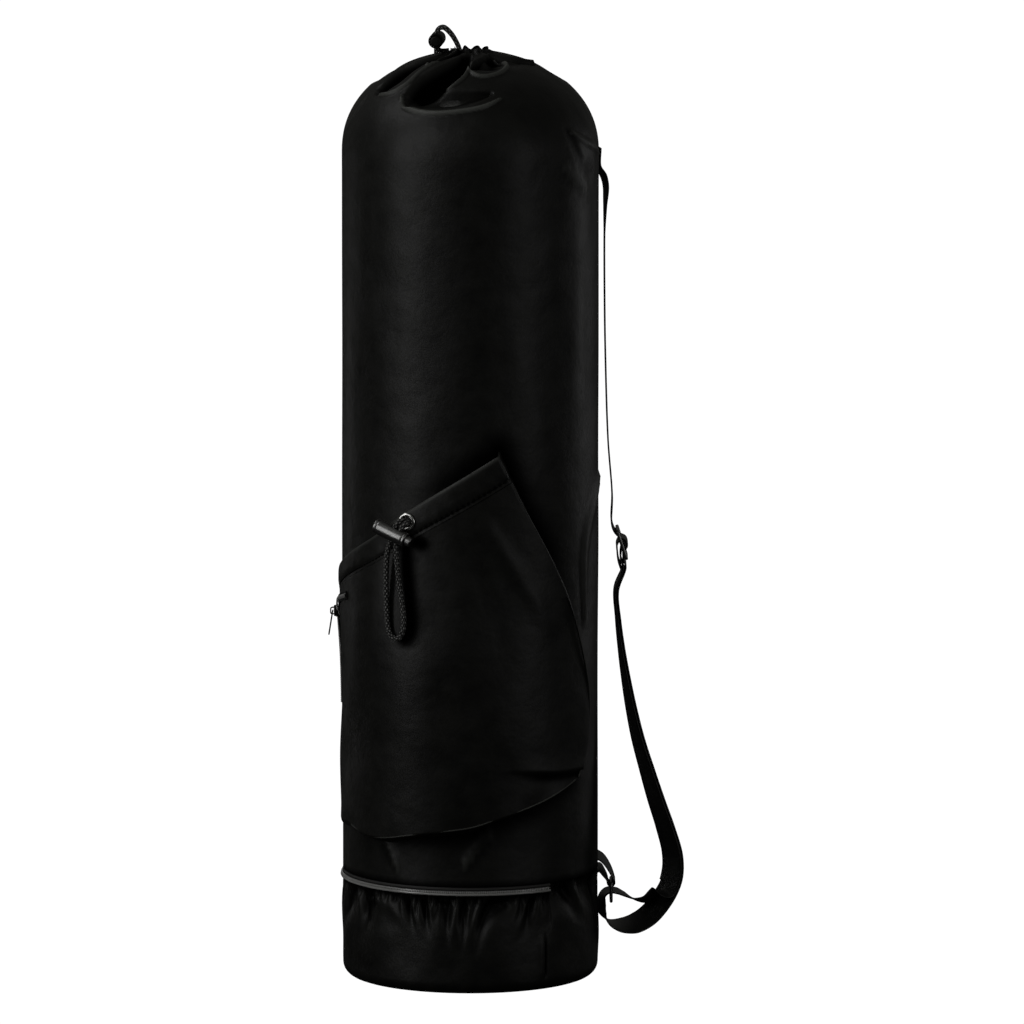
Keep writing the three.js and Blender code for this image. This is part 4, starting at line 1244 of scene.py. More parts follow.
@dataclass
class BagBase:
    """The base cup, its gathers, and the zip in the seam above it."""

    radius: float = 0.095
    wall: float = 0.0016
    seam: float = 0.08085
    edge_radius: float = 0.0095
    zip_band: float = 0.007
    zip_end: float = 39.0
    zip_arc: float = 188.0
    tape_wall: float = 0.001
    coil_width: float = 0.003
    coil_height: float = 0.001
    gap: float = 0.0003
    columns: int = 840
    side_seam: float = 36.0
    seam_ridge: float = 0.0014
    swell: float = 0.0006
    sag: float = 0.0007
    bead_rise: float = 0.0004
    bead_share: float = 0.84
    pucker_depth: float = 0.0018
    fold_depth: float = 0.0023
    drape_depth: float = 0.0042
    slider: ZipSlider = field(default_factory=ZipSlider)

    @property
    def zip_start(self) -> float:
        """Azimuth of the zip's hidden end."""
        return self.zip_end - self.zip_arc

    @property
    def zip_middle(self) -> float:
        """Height of the zip's middle."""
        return self.seam - self.zip_band / 2

    def gather_depth(self, azimuth: Array, drop: Array) -> Array:
        """Inward depth of the gathers at a distance below the seam.

        Fine puckers 5 mm apart are gone 10 mm down. Folds 13 mm apart and drapes 24 mm
        apart, uneven because their phase wanders, lean as they go down and are gone 16 to
        48 mm down.
        """
        turn = np.radians(azimuth)
        wander = 0.9 * np.sin(3 * turn + 0.7) + 0.6 * np.sin(7 * turn + 2.1) + 0.4 * np.sin(13 * turn)
        puckers = 1 - np.abs(np.sin(62 * turn + 2.5 * wander))
        folds = 0.5 + 0.5 * np.sin(46 * turn + 4 * wander + 190 * drop * np.sin(3 * turn + 1))
        drapes = 0.5 + 0.5 * np.sin(25 * turn + 2.6 * wander + 120 * drop * np.sin(4 * turn + 0.5))
        reach = 0.6 + 0.4 * np.sin(5 * turn + 1.2)
        depth = self.pucker_depth * puckers * (1 - smooth(drop, 0.004, 0.01))
        folds = folds**1.5 * (1 - smooth(drop, 0.006, 0.016 + 0.016 * reach))
        drapes = drapes**1.7 * (1 - smooth(drop, 0.008, 0.026 + 0.022 * reach))
        depth = depth + self.fold_depth * folds + self.drape_depth * drapes * smooth(drop, 0, 0.008)
        return depth * smooth(drop, -0.0005, 0.0025) + 0.0006 * (1 - smooth(drop, 0.0, 0.0025))

    def shape(self) -> Shape:
        """The closed cup: bottom, rounded edge and gathered wall outside, and again inside."""
        azimuth = np.linspace(0, 360, self.columns + 1)[None, :]
        over_zip = np.mod(azimuth - self.zip_start, 360) <= self.zip_arc
        top = np.where(over_zip, self.seam - self.zip_band, self.seam)
        disc = np.array([0.0, 0.02, 0.05, 0.075])[:, None]
        bend = np.radians(np.linspace(0, 90, 8))[:, None]
        rise = (np.linspace(0, 1, 44)[1:] ** 0.8)[:, None]
        rim = self.radius - self.edge_radius
        rows = [
            around(azimuth, disc, 0 * disc),
            around(azimuth, rim + self.edge_radius * np.sin(bend), self.edge_radius * (1 - np.cos(bend))),
        ]
        height = self.edge_radius + rise * (top - self.edge_radius)
        middle = np.sin(np.pi * rise)
        turn = np.radians(azimuth)
        waves = np.sin(5 * turn + 40 * height) + 0.714 * np.sin(13 * turn - 60 * height + 1)
        bulge = self.swell * middle + self.sag * waves * middle**2
        depth = self.gather_depth(azimuth, top - height)
        seam = wrapped(azimuth, self.side_seam)
        joint = self.seam_ridge * (bell(seam / 0.55) - 0.5 * bell((seam + 2.2) / 1.6))
        joint = joint * (1 - smooth(height, 0.032, 0.046))
        rows.append(around(azimuth, self.radius - depth + bulge - joint, height))
        inner_rise = rise[::-4]
        inner_height = self.edge_radius + inner_rise * (top - self.edge_radius)
        inner_depth = self.gather_depth(azimuth, top - inner_height)
        inner_radius = self.radius - self.wall
        rows.append(around(azimuth, inner_radius - inner_depth, inner_height))
        turned = np.array([[inner_radius, self.edge_radius], [rim, self.wall]])
        rows.append(around(azimuth, turned[:, :1], turned[:, 1:]))
        rows.append(around(azimuth, np.array([[0.05], [0.0]]), np.full((2, 1), self.wall)))
        points = np.vstack([np.broadcast_to(r, (r.shape[0], self.columns + 1, 3)) for r in rows])
        uv = uv_grid(np.radians(azimuth[0]) * self.radius, np.linspace(0, 0.3, len(points)))
        shape = grid_shape(points[:, :-1], uv, wrap_columns=True)
        # Painted shade in the gathers' grooves and just under the zip, and a dark line painted down the
        # side seam
        painted_light = np.zeros(points.shape[:2])
        pinched = np.clip(depth / 0.0036, 0, 1) ** 1.5
        dark = np.maximum(0.9 * bell((top - height) / 0.0035), 0.75 * pinched)
        seam_line = 0.9 * bell(seam / 0.7) * (1 - smooth(height, 0.034, 0.042))
        first = len(disc) + len(bend)
        painted_light[first : first + len(rise)] = -np.maximum(dark, seam_line)
        shape.painted_light = painted_light[:, :-1]
        return shape

    def tape_shape(self) -> Shape:
        """The zip's tape, with a raised woven edge along its upper half."""
        low, high = self.seam - self.zip_band + self.gap, self.seam - self.gap
        rows, columns = 13, 300
        azimuth = np.linspace(self.zip_start + 0.4, self.zip_end - 0.4, columns)[None, :]
        share = np.linspace(0, 1, rows)[:, None]
        height = low + share * (high - low)
        bead = bell((share - self.bead_share) / 0.09) + 0.75 * bell((share - 0.05) / 0.06)
        outer = around(azimuth, self.radius + self.bead_rise * bead, height)
        inner = around(azimuth, self.radius - self.tape_wall, height)
        uv = plain_uv(rows, columns, math.radians(self.zip_arc) * self.radius, high - low)
        shape = slab_shape(outer, inner, uv)
        # Painted highlight along the raised woven edge
        light = np.broadcast_to(bell((share - self.bead_share) / 0.1), outer.shape[:2])
        shape.painted_light = np.concatenate([light, 0 * light], axis=1)
        return shape

    def coil_path(self) -> tuple[Array, Array]:
        """The coil's middle line and its outward directions."""
        azimuth = np.linspace(self.zip_start + 0.9, self.zip_end - 0.9, 400)
        radius = self.radius + self.gap + self.coil_height / 2
        return around(azimuth, radius, self.zip_middle - 0.0008), around(azimuth, 1.0, 0.0)

    def coil_lips(self) -> Shape:
        """The two glossy edges between which the coil runs, as thin beads in the coil's finish that carry
        its painted highlight.
        """
        path, outwards = self.coil_path()
        ups = np.tile([0.0, 0.0, 1.0], (len(path), 1))
        beads = (
            tube_shape(path + ups * rise, -outwards, ups, circle(radius, 8))
            for rise, radius in ((-0.0011, 0.001), (0.0009, 0.0003))
        )
        return reduce(Shape.joined, beads)

    def frame(self) -> Array:
        """Where the slider sits: x along the zip, y up, z outwards."""
        azimuth = self.zip_start + 5.4
        place = around(azimuth, self.radius + self.gap, self.zip_middle)
        return upright_frame(around(azimuth + 90, 1.0, 0.0), place)

    def build(self, workshop: Workshop) -> None:
        """Makes the base, its seams and its zip."""
        cup, tape = self.shape(), self.tape_shape()
        workshop.piece(
            "base_cloth", cup, NYLON, stands_for=["base_panel"], weld=True, sharp_angle=80
        )
        workshop.piece("base_tape", tape, ZIP_TAPE, stands_for=["base_zip_tape"])
        path, outwards = self.coil_path()
        coil = coil_teeth(path, outwards, self.coil_width, self.coil_height)
        coil = coil.joined(self.coil_lips())
        workshop.piece("base_coil", coil, COIL, stands_for=["base_zip_coil"])
        self.slider.build(workshop, "base_zip", self.frame(), 0.0, 2.0, Body.BASE_PULL)


@dataclass(frozen=True)
class Eyelet:
    """An eyelet about the Z axis: a rolled flange on a neck through the cloth."""

    bore: float = 0.0036
    neck: float = 0.0045
    depth: float = 0.0019
    roll_middle: float = 0.00535
    roll_half_width: float = 0.00145
    roll_height: float = 0.00115
    lift: float = 0.0001
    bore_start: float = -0.0004

    def shape(self) -> Shape:
        """The turned ring, whose flange rests on z = 0."""
        turn = np.radians(np.linspace(0, 180, 13))
        across = self.roll_middle + self.roll_half_width * np.cos(turn)
        roll = np.stack([across, self.lift + self.roll_height * np.sin(turn)], axis=-1)
        outside = [(self.neck, -self.depth), (self.neck, 0.0)]
        inside = [(self.bore, self.bore_start), (self.bore, -self.depth)]
        return revolved_shape(np.vstack([outside, roll, inside]), 64)


@dataclass
class BottlePocket:
    """The slanted pocket, its drawcord casing, side zip and eyelet."""

    radius: float = 0.095
    foot: float = 0.116
    height: float = 0.289
    wall: float = 0.001
    gusset: float = 0.012
    belly: float = 0.006
    gusset_run: float = 0.005
    hem_width: float = 0.021
    hem_wall: float = 0.002
    turned_share: float = 0.035
    foot_sag: float = 0.0055
    foot_lift: float = 0.0012
    pinch_depth: float = 0.0034
    ridge_height: float = 0.0013
    hollow_depth: float = 0.0008
    wave_height: float = 0.0009
    piping_radius: float = 0.0006
    stitch_share: float = 0.12
    eyelet_across: float = 0.672
    eyelet_drop: float = 0.0072
    eyelet: Eyelet = Eyelet()
    gap: float = 0.0003
    tape_wall: float = 0.001
    zip_width: float = 0.006
    coil_width: float = 0.003
    coil_height: float = 0.001
    edges: dict[str, tuple[tuple[float, float], ...]] = field(
        default_factory=lambda: {
            "hem": ((-112, 0.59), (-90, 0.645), (-66, 0.7), (-42, 0.772), (-25, 0.849), (13, 1)),
            "right": (
                (50, 0.145), (57, 0.26), (58, 0.36), (54.7, 0.46),
                (47, 0.6), (37, 0.72), (24.7, 0.855), (13, 1),
            ),
            "foot": ((-112, 0.01), (-60, 0), (-8, 0.017), (12, 0.05), (31.5, 0.09), (50, 0.145)),
            "left": ((-112, 0.01), (-112, 0.59)),
        }
    )
    zip_run: tuple[tuple[float, float], ...] = (
        (0.37, 0.86), (0.25, 0.872), (0.158, 0.845), (0.11, 0.79),
        (0.075, 0.69), (0.06, 0.57), (0.055, 0.47),
    )
    slider: ZipSlider = field(default_factory=lambda: ZipSlider(finish=DARK_METAL))
    shades: Sequence[Array] = ()

    def __post_init__(self) -> None:
        """Samples the four edges by their length."""
        scale = math.radians(1) * self.radius
        self.curves: dict[str, Array] = {}
        for name, edge in self.edges.items():
            points = np.array([(a * scale, self.foot + rise * self.height) for a, rise in edge])
            self.curves[name] = uniform_spline(points, 600)
        self.span = run_lengths(self.curves["foot"])[-1]

    @property
    def hem_share(self) -> float:
        """Share up the pocket where the casing begins."""
        return 1 - self.hem_width / (0.9 * self.height)

    def edge(self, name: str, share: Array) -> Array:
        """Points of an edge at shares of its length."""
        curve = self.curves[name]
        return at_lengths(curve, np.asarray(share) * run_lengths(curve)[-1])

    def stand(self, across: Array, up: Array) -> Array:
        """How far the pocket stands off the body: a gusset with a belly on it."""
        tall = self.height * (0.58 + 0.42 * across)
        from_left = smooth(across, 0.13, 0.56)
        gusset = smooth((1 - across) * self.span, 0, self.gusset_run)
        gusset = gusset * smooth(up * tall, 0, self.gusset_run)
        bow = np.sin(np.pi * np.minimum(1, across / 0.96)) ** 2
        belly = bow * np.sin(np.pi * np.clip(up, 0, 1)) ** 0.8
        return from_left * gusset * (self.gusset + self.belly * belly)

    def point(self, across: Array, up: Array, out: Array | float = 0.0) -> Array:
        """A point of the pocket: a patch blended between its four edges, stood off the body."""
        across, up = np.broadcast_arrays(np.asarray(across, float), np.asarray(up, float))
        foot, hem = self.edge("foot", across), self.edge("hem", across)
        left, right = self.edge("left", up), self.edge("right", up)
        corners = {name: self.edge(name, np.array([0.0, 1.0])) for name in ("foot", "hem")}
        a, b = across[..., None], up[..., None]
        flat = (1 - b) * foot + b * hem + (1 - a) * left + a * right
        flat = flat - (1 - a) * (1 - b) * corners["foot"][0] - a * (1 - b) * corners["foot"][1]
        flat = flat - (1 - a) * b * corners["hem"][0] - a * b * corners["hem"][1]
        radius = self.radius + self.gap + self.wall / 2 + self.stand(across, up) + out
        azimuth = np.degrees(flat[..., 0] / self.radius)
        sag = self.foot_sag * bell((azimuth + 40) / 17) - self.foot_lift * bell((azimuth + 66) / 10)
        return around(azimuth, radius, flat[..., 1] - sag * (1 - smooth(up, 0, 0.14)))

    def shade_lines(self) -> list[tuple[Array, float]]:
        """Lines on the body beside the pocket's edges where painted shade falls, with a weight, and how
        far they reach.
        """
        share = np.linspace(0, 1, 40)
        lines = []
        for name, weight, reach in (
            ("right", smooth(share, 0.5, 0.7), 0.014),
            ("hem", 0.9 * smooth(share, 0.6, 0.85), 0.012),
            ("foot", 0.95 * smooth(share, 0.25, 0.5), 0.013),
        ):
            flat = self.edge(name, share)
            points = around(np.degrees(flat[:, 0] / self.radius), self.radius, flat[:, 1])
            lines.append((np.column_stack([points, weight]), reach))
        return lines

    def unrolled(self, points: Array) -> Array:
        """Points seen on the bag's unrolled wall: run round it, height, and nothing off it."""
        run = np.arctan2(points[..., 0], -points[..., 1]) * self.radius
        return np.stack([run, points[..., 2], 0 * run], axis=-1)

    def frame(self, across: float, up: float, out: float) -> Array:
        """A frame on the pocket: x across, y up and z outwards."""
        near = self.point(np.array([across - 0.01, across, across + 0.01]), up, out)
        right = near[2] - near[0]
        right[2] = 0
        return upright_frame(unit(right), near[1])

    def creases(self, across: Array, up: Array) -> Array:
        """Outward relief of the panel.

        A pinched fold at the lower right is a step that faces down, with a bulge above it
        and a hollow below. Soft folds run down from the casing and up from the foot.
        """
        above = self.above_pinch(across, up)
        step = (smooth(above, -0.006, 0.006) - 0.42) * np.exp(-np.abs(above) / 0.05)
        pinch = self.pinch_depth * step * smooth(across, 0.7, 0.86)
        hollow = bell((across - 0.82 + 0.1 * (1 - up)) / 0.03) * smooth(up, 0.35, 0.8)
        pull = self.ridge_height * self.ridge(across, up) - self.hollow_depth * hollow
        foot = np.sin(across * 34 + 1) * bell(up / 0.07) * smooth(across, 0.05, 0.2)
        slow = np.sin(9 * across + 5 * up) + 0.556 * np.sin(21 * across - 13 * up + 2)
        waves = self.wave_height * (foot + slow * np.sin(np.pi * np.clip(up, 0, 1)))
        fade = smooth(up, 0, 0.02) * smooth(1 - across, 0, 0.02)
        return (pinch + pull + waves) * fade

    def above_pinch(self, across: Array, up: Array) -> Array:
        """How far a place is above the pinched fold's line, in shares of the height."""
        return up - 0.03 - 0.5 * (1 - across)

    def ridge(self, across: Array, up: Array) -> Array:
        """A soft ridge that runs down beside the right edge from the casing, from 0 to 1."""
        line = bell((across - 0.875 - 0.1 * (0.8 - up)) / 0.024)
        return line * smooth(up, 0.45, 0.62) * (1 - smooth(up, 0.83, 0.9))

    def shares_across(self, plain: int, turned: int) -> Array:
        """Shares across the pocket, closer together at its right edge, where it turns in."""
        edge = 1 - self.turned_share * np.linspace(1, 0, turned)
        return np.concatenate([np.linspace(0, edge[0], plain), edge[1:]])

    def shares_uv(self, across: Array, up: Array) -> Array:
        """Texture places of the pocket in metres."""
        return uv_grid(across * self.span, up * self.height)

    def panel_shape(self) -> Shape:
        """The pocket's panel: a grid, finer at its foot and right edge where it turns in."""
        across = self.shares_across(210, 14)
        foot = np.concatenate([[0.0], np.linspace(0.002, 0.03, 14)])
        up = np.concatenate([foot, np.linspace(0.03, self.hem_share - 0.002, 150)[1:]])
        grid_across, grid_up = np.meshgrid(across, up)
        middle = self.point(grid_across, grid_up, self.creases(grid_across, grid_up))
        shape = sheet_shape(middle, self.wall, self.shares_uv(across, up))
        # Painted shadow beside the cord loop and its lock, a painted highlight along the ridge, and
        # painted shade under the pinched fold
        painted_light = np.zeros(middle.shape[:2])
        for line in self.shades:
            away, _ = distance_to_line(self.unrolled(middle), self.unrolled(line))
            painted_light = np.minimum(painted_light, -bell(away / 0.0062, 3))
        painted_light = painted_light + 0.22 * self.ridge(grid_across, grid_up)
        below = bell((self.above_pinch(grid_across, grid_up) + 0.012) / 0.012)
        held = smooth(grid_across, 0.72, 0.84) * smooth(1 - grid_across, 0, 0.02)
        painted_light = np.minimum(painted_light, -0.95 * below * held)
        shape.painted_light = np.concatenate([painted_light, painted_light[:, ::-1]], axis=1)
        return shape

    def hem_shape(self) -> Shape:
        """The casing: a flattened tube with soft puckers along its stitch line."""
        across = self.shares_across(380, 10)
        up = np.linspace(self.hem_share, 1, 27)
        grid_across, grid_up = np.meshgrid(across, up)
        share = (grid_up - self.hem_share) / (1 - self.hem_share)
        crown = np.sqrt(np.maximum(1 - np.maximum(2 * share - 1, 0) ** 4, 0.0))
        crown = crown * smooth(share, 0.0, 0.45)
        pucker = 0.0001 * np.sin(grid_across * 150) * bell((share - 0.3) / 0.2)
        groove = 0.0004 * bell((share - self.stitch_share) / 0.07)
        rise = (self.hem_wall - self.wall) * crown + pucker - groove
        outer = self.point(grid_across, grid_up, self.wall / 2 + rise)
        inner = self.point(grid_across, grid_up, -self.wall / 2)
        shape = slab_shape(outer, inner, self.shares_uv(across, up))
        # A painted highlight along the casing's top edge, and dashed painted shade along the stitch line
        stitched = smooth(grid_across, 0.62, 0.72)
        phase = 2 * np.pi * grid_across * self.span / 0.0046
        dashes = (0.45 + 0.55 * np.sin(phase)) * stitched
        edge = 0.35 * bell((share - 0.95) / 0.05) * smooth(grid_across, 0.1, 0.3)
        painted_light = edge - bell((share - 0.13) / 0.06) * dashes
        shape.painted_light = np.concatenate([painted_light, 0 * painted_light], axis=1)
        return shape

    def hem_stitches(self) -> Shape:
        """The row of stitches that closes the casing."""
        across = np.linspace(0.02, 0.972, 400)
        up = np.full_like(across, self.hem_share + self.stitch_share * (1 - self.hem_share))
        path = self.point(across, up, self.wall / 2 - 0.0002)
        return CASING_STITCH.row(path, outward_at(path))

    def edge_piping(self) -> Shape:
        """The folded edge that runs down the right side and along the foot."""
        up = np.linspace(0.55, 0.02, 240)
        right = self.point(np.full_like(up, 0.978), up, 0.0)
        across = np.linspace(0.965, 0.3, 240)
        foot = self.point(across, np.full_like(across, 0.02), 0.0)
        beads = []
        for path in (right, foot):
            out = outward_at(path)
            along = unit(np.gradient(path, axis=0))
            sides = unit(np.cross(out, along))
            section = circle(self.piping_radius, 8)
            bead = tube_shape(path + out * 0.0003, sides, np.cross(along, sides), section)
            # Painted highlight along the lower part of the piping
            bead.painted_light = np.repeat(0.75 * bell((path[:, 2] - 0.165) / 0.045), 8)
            beads.append(bead)
        return reduce(Shape.joined, beads)

    def zip_frames(self, steps: int) -> tuple[Array, Array, Array]:
        """The side zip's line on the pocket's face, its outward and its sideways directions."""
        shares = uniform_spline(np.array(self.zip_run), steps)
        line = self.point(shares[:, 0], shares[:, 1], self.wall / 2)
        out = outward_at(line)
        side = unit(np.cross(out, np.gradient(line, axis=0)))
        return line, out, side

    def zip_tape_shape(self) -> Shape:
        """The side zip's tape."""
        line, out, side = self.zip_frames(160)
        middle = line + out * (self.gap + self.tape_wall / 2)
        shares = np.linspace(-0.5, 0.5, 9)[:, None, None]
        grid = (middle[None] + shares * self.zip_width * side[None])[:, ::-1]
        length = run_lengths(line)[-1]
        return sheet_shape(grid, self.tape_wall, plain_uv(9, 161, length, self.zip_width))

    def build(self, workshop: Workshop) -> None:
        """Makes the pocket's pieces."""
        for name, shape, node in (
            ("pocket_cloth", self.panel_shape(), "pocket_panel"),
            ("pocket_casing", self.hem_shape(), "pocket_hem"),
        ):
            workshop.piece(name, shape, NYLON, stands_for=[node], sharp_angle=70)
        workshop.piece("casing_stitches", self.hem_stitches(), THREAD)
        workshop.piece("pocket_edge", self.edge_piping(), NYLON)
        tape = self.zip_tape_shape()
        workshop.piece("side_tape", tape, ZIP_TAPE, stands_for=["side_zip_tape"])
        line, out, _ = self.zip_frames(300)
        lift = self.gap * 2 + self.tape_wall + self.coil_height / 2
        coil = coil_teeth(line + out * lift, out, self.coil_width, self.coil_height)
        workshop.piece("side_coil", coil, COIL, stands_for=["side_zip_coil"])
        out_of_cloth = self.wall / 2 + 2 * self.gap + self.tape_wall
        frame = self.frame(self.zip_run[2][0], self.zip_run[2][1], out_of_cloth)
        self.slider.build(workshop, "side_zip", frame, 42.0, 9.0, Body.SIDE_PULL)
        up = 1 - self.eyelet_drop / (0.9 * self.height)
        frame = self.frame(self.eyelet_across, up, self.hem_wall - self.wall / 2 + 2 * self.gap)
        ring = self.eyelet.shape().placed(frame)
        workshop.piece("eyelet_ring", ring, NICKEL, stands_for=["pocket_eyelet"], sharp_angle=60)


@dataclass
class CordLock:
    """A barrel cord lock along x, with the cord passing along y, and its sprung button."""

    name: str
    length: float = 0.0275
    radius: float = 0.0055
    wall: float = 0.0014
    end_wall: float = 0.0024
    reach: float = 0.0045
    slot_middle: float = 0.004
    strand_spacing: float = 0.0052
    gap: float = 0.0003
    travel: float = 0.003
    barrel_rim: float = 0.0007
    button_rim: float = 0.0009
    groove_depth: float = 0.0003
    groove_place: float = 0.0026
    finish: Finish = GUNMETAL

    def barrel_profile(self) -> Array:
        """The barrel's bored section: outside with rounded rims and two turned grooves."""
        half, bore = self.length / 2, self.radius - self.wall
        turn = np.radians(np.linspace(0, 90, 5))
        rim = self.barrel_rim
        flat, level = self.radius - rim, half - rim
        shoulder = np.stack([flat + rim * np.sin(turn), -level - rim * np.cos(turn)], axis=-1)
        front = np.stack([flat + rim * np.cos(turn), level + rim * np.sin(turn)], axis=-1)
        z = np.linspace(-half + 0.0012, half - 0.0012, 60)
        groove = bell((np.abs(z) - half + self.groove_place) / 0.0003)
        outside = np.stack([self.radius - self.groove_depth * groove, z], axis=-1)
        inside = np.array([[bore, half - 0.0002], [bore, -half + self.end_wall]])
        foot, bottom = [[0.0, -half]], [[0.0, -half + self.end_wall]]
        return np.vstack([foot, shoulder, outside, front, inside, bottom])

    def button_profile(self) -> Array:
        """The plunger and its head with a rounded rim."""
        half = self.length / 2
        radius = self.radius - self.wall - self.gap
        foot = -half + self.end_wall + self.travel + self.gap
        turn = np.radians(np.linspace(0, 90, 6))
        rim = self.button_rim
        tip = half + self.reach
        head = np.stack([radius - rim + rim * np.cos(turn), tip - rim + rim * np.sin(turn)], axis=-1)
        return np.vstack([[[0.0, foot], [radius, foot]], head, [[0.0, tip]]])

    def cut(self, shape: Shape, low: float, high: float, width: float) -> Shape:
        """A shape with the cord's slot cut through it along y."""
        mesh = build_mesh("lock_blank", shape, True, 60)
        blank = bpy.data.objects.new("lock_blank", mesh)
        cutter_mesh = bpy.data.meshes.new("lock_cutter")
        work = bmesh.new()
        bmesh.ops.create_cube(work, size=1.0)
        work.to_mesh(cutter_mesh)
        work.free()
        cutter = bpy.data.objects.new("lock_cutter", cutter_mesh)
        cutter_mesh.transform(Matrix.Diagonal((high - low, 4 * self.radius, width, 1)))
        cutter_mesh.transform(Matrix.Translation(((low + high) / 2, 0, 0)))
        for holder in (blank, cutter):
            bpy.context.scene.collection.objects.link(holder)
        modifier = blank.modifiers.new("slot", "BOOLEAN")
        modifier.object = cutter
        modifier.operation = "DIFFERENCE"
        modifier.solver = "EXACT"
        evaluated = blank.evaluated_get(bpy.context.evaluated_depsgraph_get())
        cut_mesh = bpy.data.meshes.new_from_object(evaluated)
        result = loose_shape(cut_mesh)
        for holder, data in ((blank, mesh), (cutter, cutter_mesh)):
            bpy.data.objects.remove(holder)
            bpy.data.meshes.remove(data)
        bpy.data.meshes.remove(cut_mesh)
        return result

    def build(self, workshop: Workshop, frame: Array, cord: float, body: Body) -> list[bpy.types.Object]:
        """Makes the barrel and the button at a frame and returns them."""
        lay = np.array(Matrix.Rotation(math.pi / 2, 4, "Y"))
        half_slot = self.strand_spacing / 2 + cord / 2 + 0.0004
        width = cord + 2 * self.gap
        low, high = self.slot_middle - half_slot, self.slot_middle + half_slot
        barrel = revolved_shape(self.barrel_profile(), 56, caps=True).placed(lay)
        button = revolved_shape(self.button_profile(), 48, caps=True).placed(lay)
        barrel = self.cut(barrel, low, high, width)
        button = self.cut(button, low, high + self.travel, width)
        return [
            workshop.piece(
                f"{self.name}_{part}_metal",
                shape.placed(frame),
                self.finish,
                body=rides,
                stands_for=[f"{self.name}_{part}"],
                weld=True,
                sharp_angle=35,
            )
            for part, shape, rides in (("barrel", barrel, Body.BAG), ("button", button, body))
        ]


@dataclass
class Drawcord:
    """A free cord along a route of chosen points, in metres."""

    name: str
    stands_for: str
    diameter: float
    route: tuple[tuple[float, float, float], ...]

    def path(self) -> Array:
        """Smooth path through the route."""
        return centripetal_spline(np.array(self.route), 8 * (len(self.route) - 1))

    def build(self, workshop: Workshop, on_it: Sequence[bpy.types.Object]) -> None:
        """Makes the cord."""
        path = self.path()
        sides, ups = carried_frames(path, np.array([0.9, -0.3, 0.3]))
        made = workshop.piece(
            self.name,
            tube_shape(path, sides, ups, circle(self.diameter / 2, 16)),
            CORD,
            stands_for=[self.stands_for],
        )


POCKET_CORD = Drawcord(
    "pocket_cord",
    "pocket_drawcord",
    0.004,
    (
        (-0.04519, -0.10409, 0.35396), (-0.04605, -0.10521, 0.35366), (-0.04854, -0.10576, 0.35146),
        (-0.05044, -0.10527, 0.34856), (-0.05210, -0.10434, 0.34340), (-0.05375, -0.10340, 0.33826),
        (-0.05376, -0.10363, 0.33166), (-0.05307, -0.10402, 0.32166), (-0.05140, -0.10473, 0.30766),
        (-0.04956, -0.10554, 0.29366), (-0.04841, -0.10595, 0.28166), (-0.04919, -0.10528, 0.27306),
        (-0.05206, -0.10367, 0.26806), (-0.05555, -0.10170, 0.26766), (-0.05869, -0.09994, 0.27126),
        (-0.06017, -0.09911, 0.27866), (-0.06096, -0.09889, 0.29166), (-0.06133, -0.09914, 0.30766),
        (-0.06108, -0.09951, 0.32166), (-0.06012, -0.10005, 0.33206), (-0.05828, -0.10085, 0.33901),
        (-0.05637, -0.10193, 0.34518), (-0.05471, -0.10287, 0.35036), (-0.05267, -0.10332, 0.35336),
        (-0.05015, -0.10291, 0.35486), (-0.04937, -0.10174, 0.35506),
    ),
)
TOP_CORD = Drawcord(
    "top_cord",
    "top_drawcord",
    0.0035,
    (
        (-0.01540, 0.00260, 0.69070), (-0.01840, 0.00260, 0.69040), (-0.02180, 0.00260, 0.69060),
        (-0.02410, 0.00260, 0.69260), (-0.02440, 0.00260, 0.69860), (-0.02440, 0.00260, 0.70360),
        (-0.02260, 0.00260, 0.70720), (-0.01920, 0.00260, 0.70800), (-0.01460, 0.00260, 0.70420),
        (-0.01020, 0.00260, 0.69740), (-0.00740, 0.00260, 0.69040), (-0.00660, 0.00290, 0.68400),
        (-0.00640, 0.00240, 0.68020), (-0.00630, 0.00000, 0.67840), (-0.00640, -0.00240, 0.68020),
        (-0.00660, -0.00290, 0.68400), (-0.00740, -0.00260, 0.69040), (-0.01020, -0.00260, 0.69740),
        (-0.01480, -0.00260, 0.70420), (-0.01960, -0.00260, 0.70800), (-0.02300, -0.00260, 0.70720),
        (-0.02470, -0.00260, 0.70360), (-0.02476, -0.00260, 0.69860), (-0.02480, -0.00260, 0.69340),
        (-0.02490, -0.00260, 0.68860),
    ),
)
# Place of each lock: its x, y and z directions, and its middle in metres
POCKET_LOCK_AXES = ((0.871495, -0.490404, 0.0), (0.0, 0.0, 1.0), (-0.490404, -0.871495, 0.0))
POCKET_LOCK_PLACE = (-0.057499, -0.101296, 0.345659)
POCKET_LOCK_TILT = -20.0
TOP_LOCK_AXES = ((-0.069756, -0.997564, 0.0), (0.0, 0.0, 1.0), (-0.997564, 0.069756, 0.0))
TOP_LOCK_PLACE = (-0.0243, 0.004, 0.6986)
# Shade on the pocket: below what height the loop casts it, how far aside, and the lock's line
LOOP_TOP = 0.343
LOOP_SHADE_SHIFT = (0.0052, 0.0, -0.0012)
LOCK_SHADE_LINE = ((-0.052, -0.105, 0.342), (-0.037, -0.108, 0.338))


def cord_shades() -> list[Array]:
    """Where the hanging loop and its lock darken the pocket: beside them on the lee side."""
    loop = POCKET_CORD.path()
    loop = loop[loop[:, 2] < LOOP_TOP]
    return [loop[: len(loop) // 2] + np.array(LOOP_SHADE_SHIFT), np.array(LOCK_SHADE_LINE)]


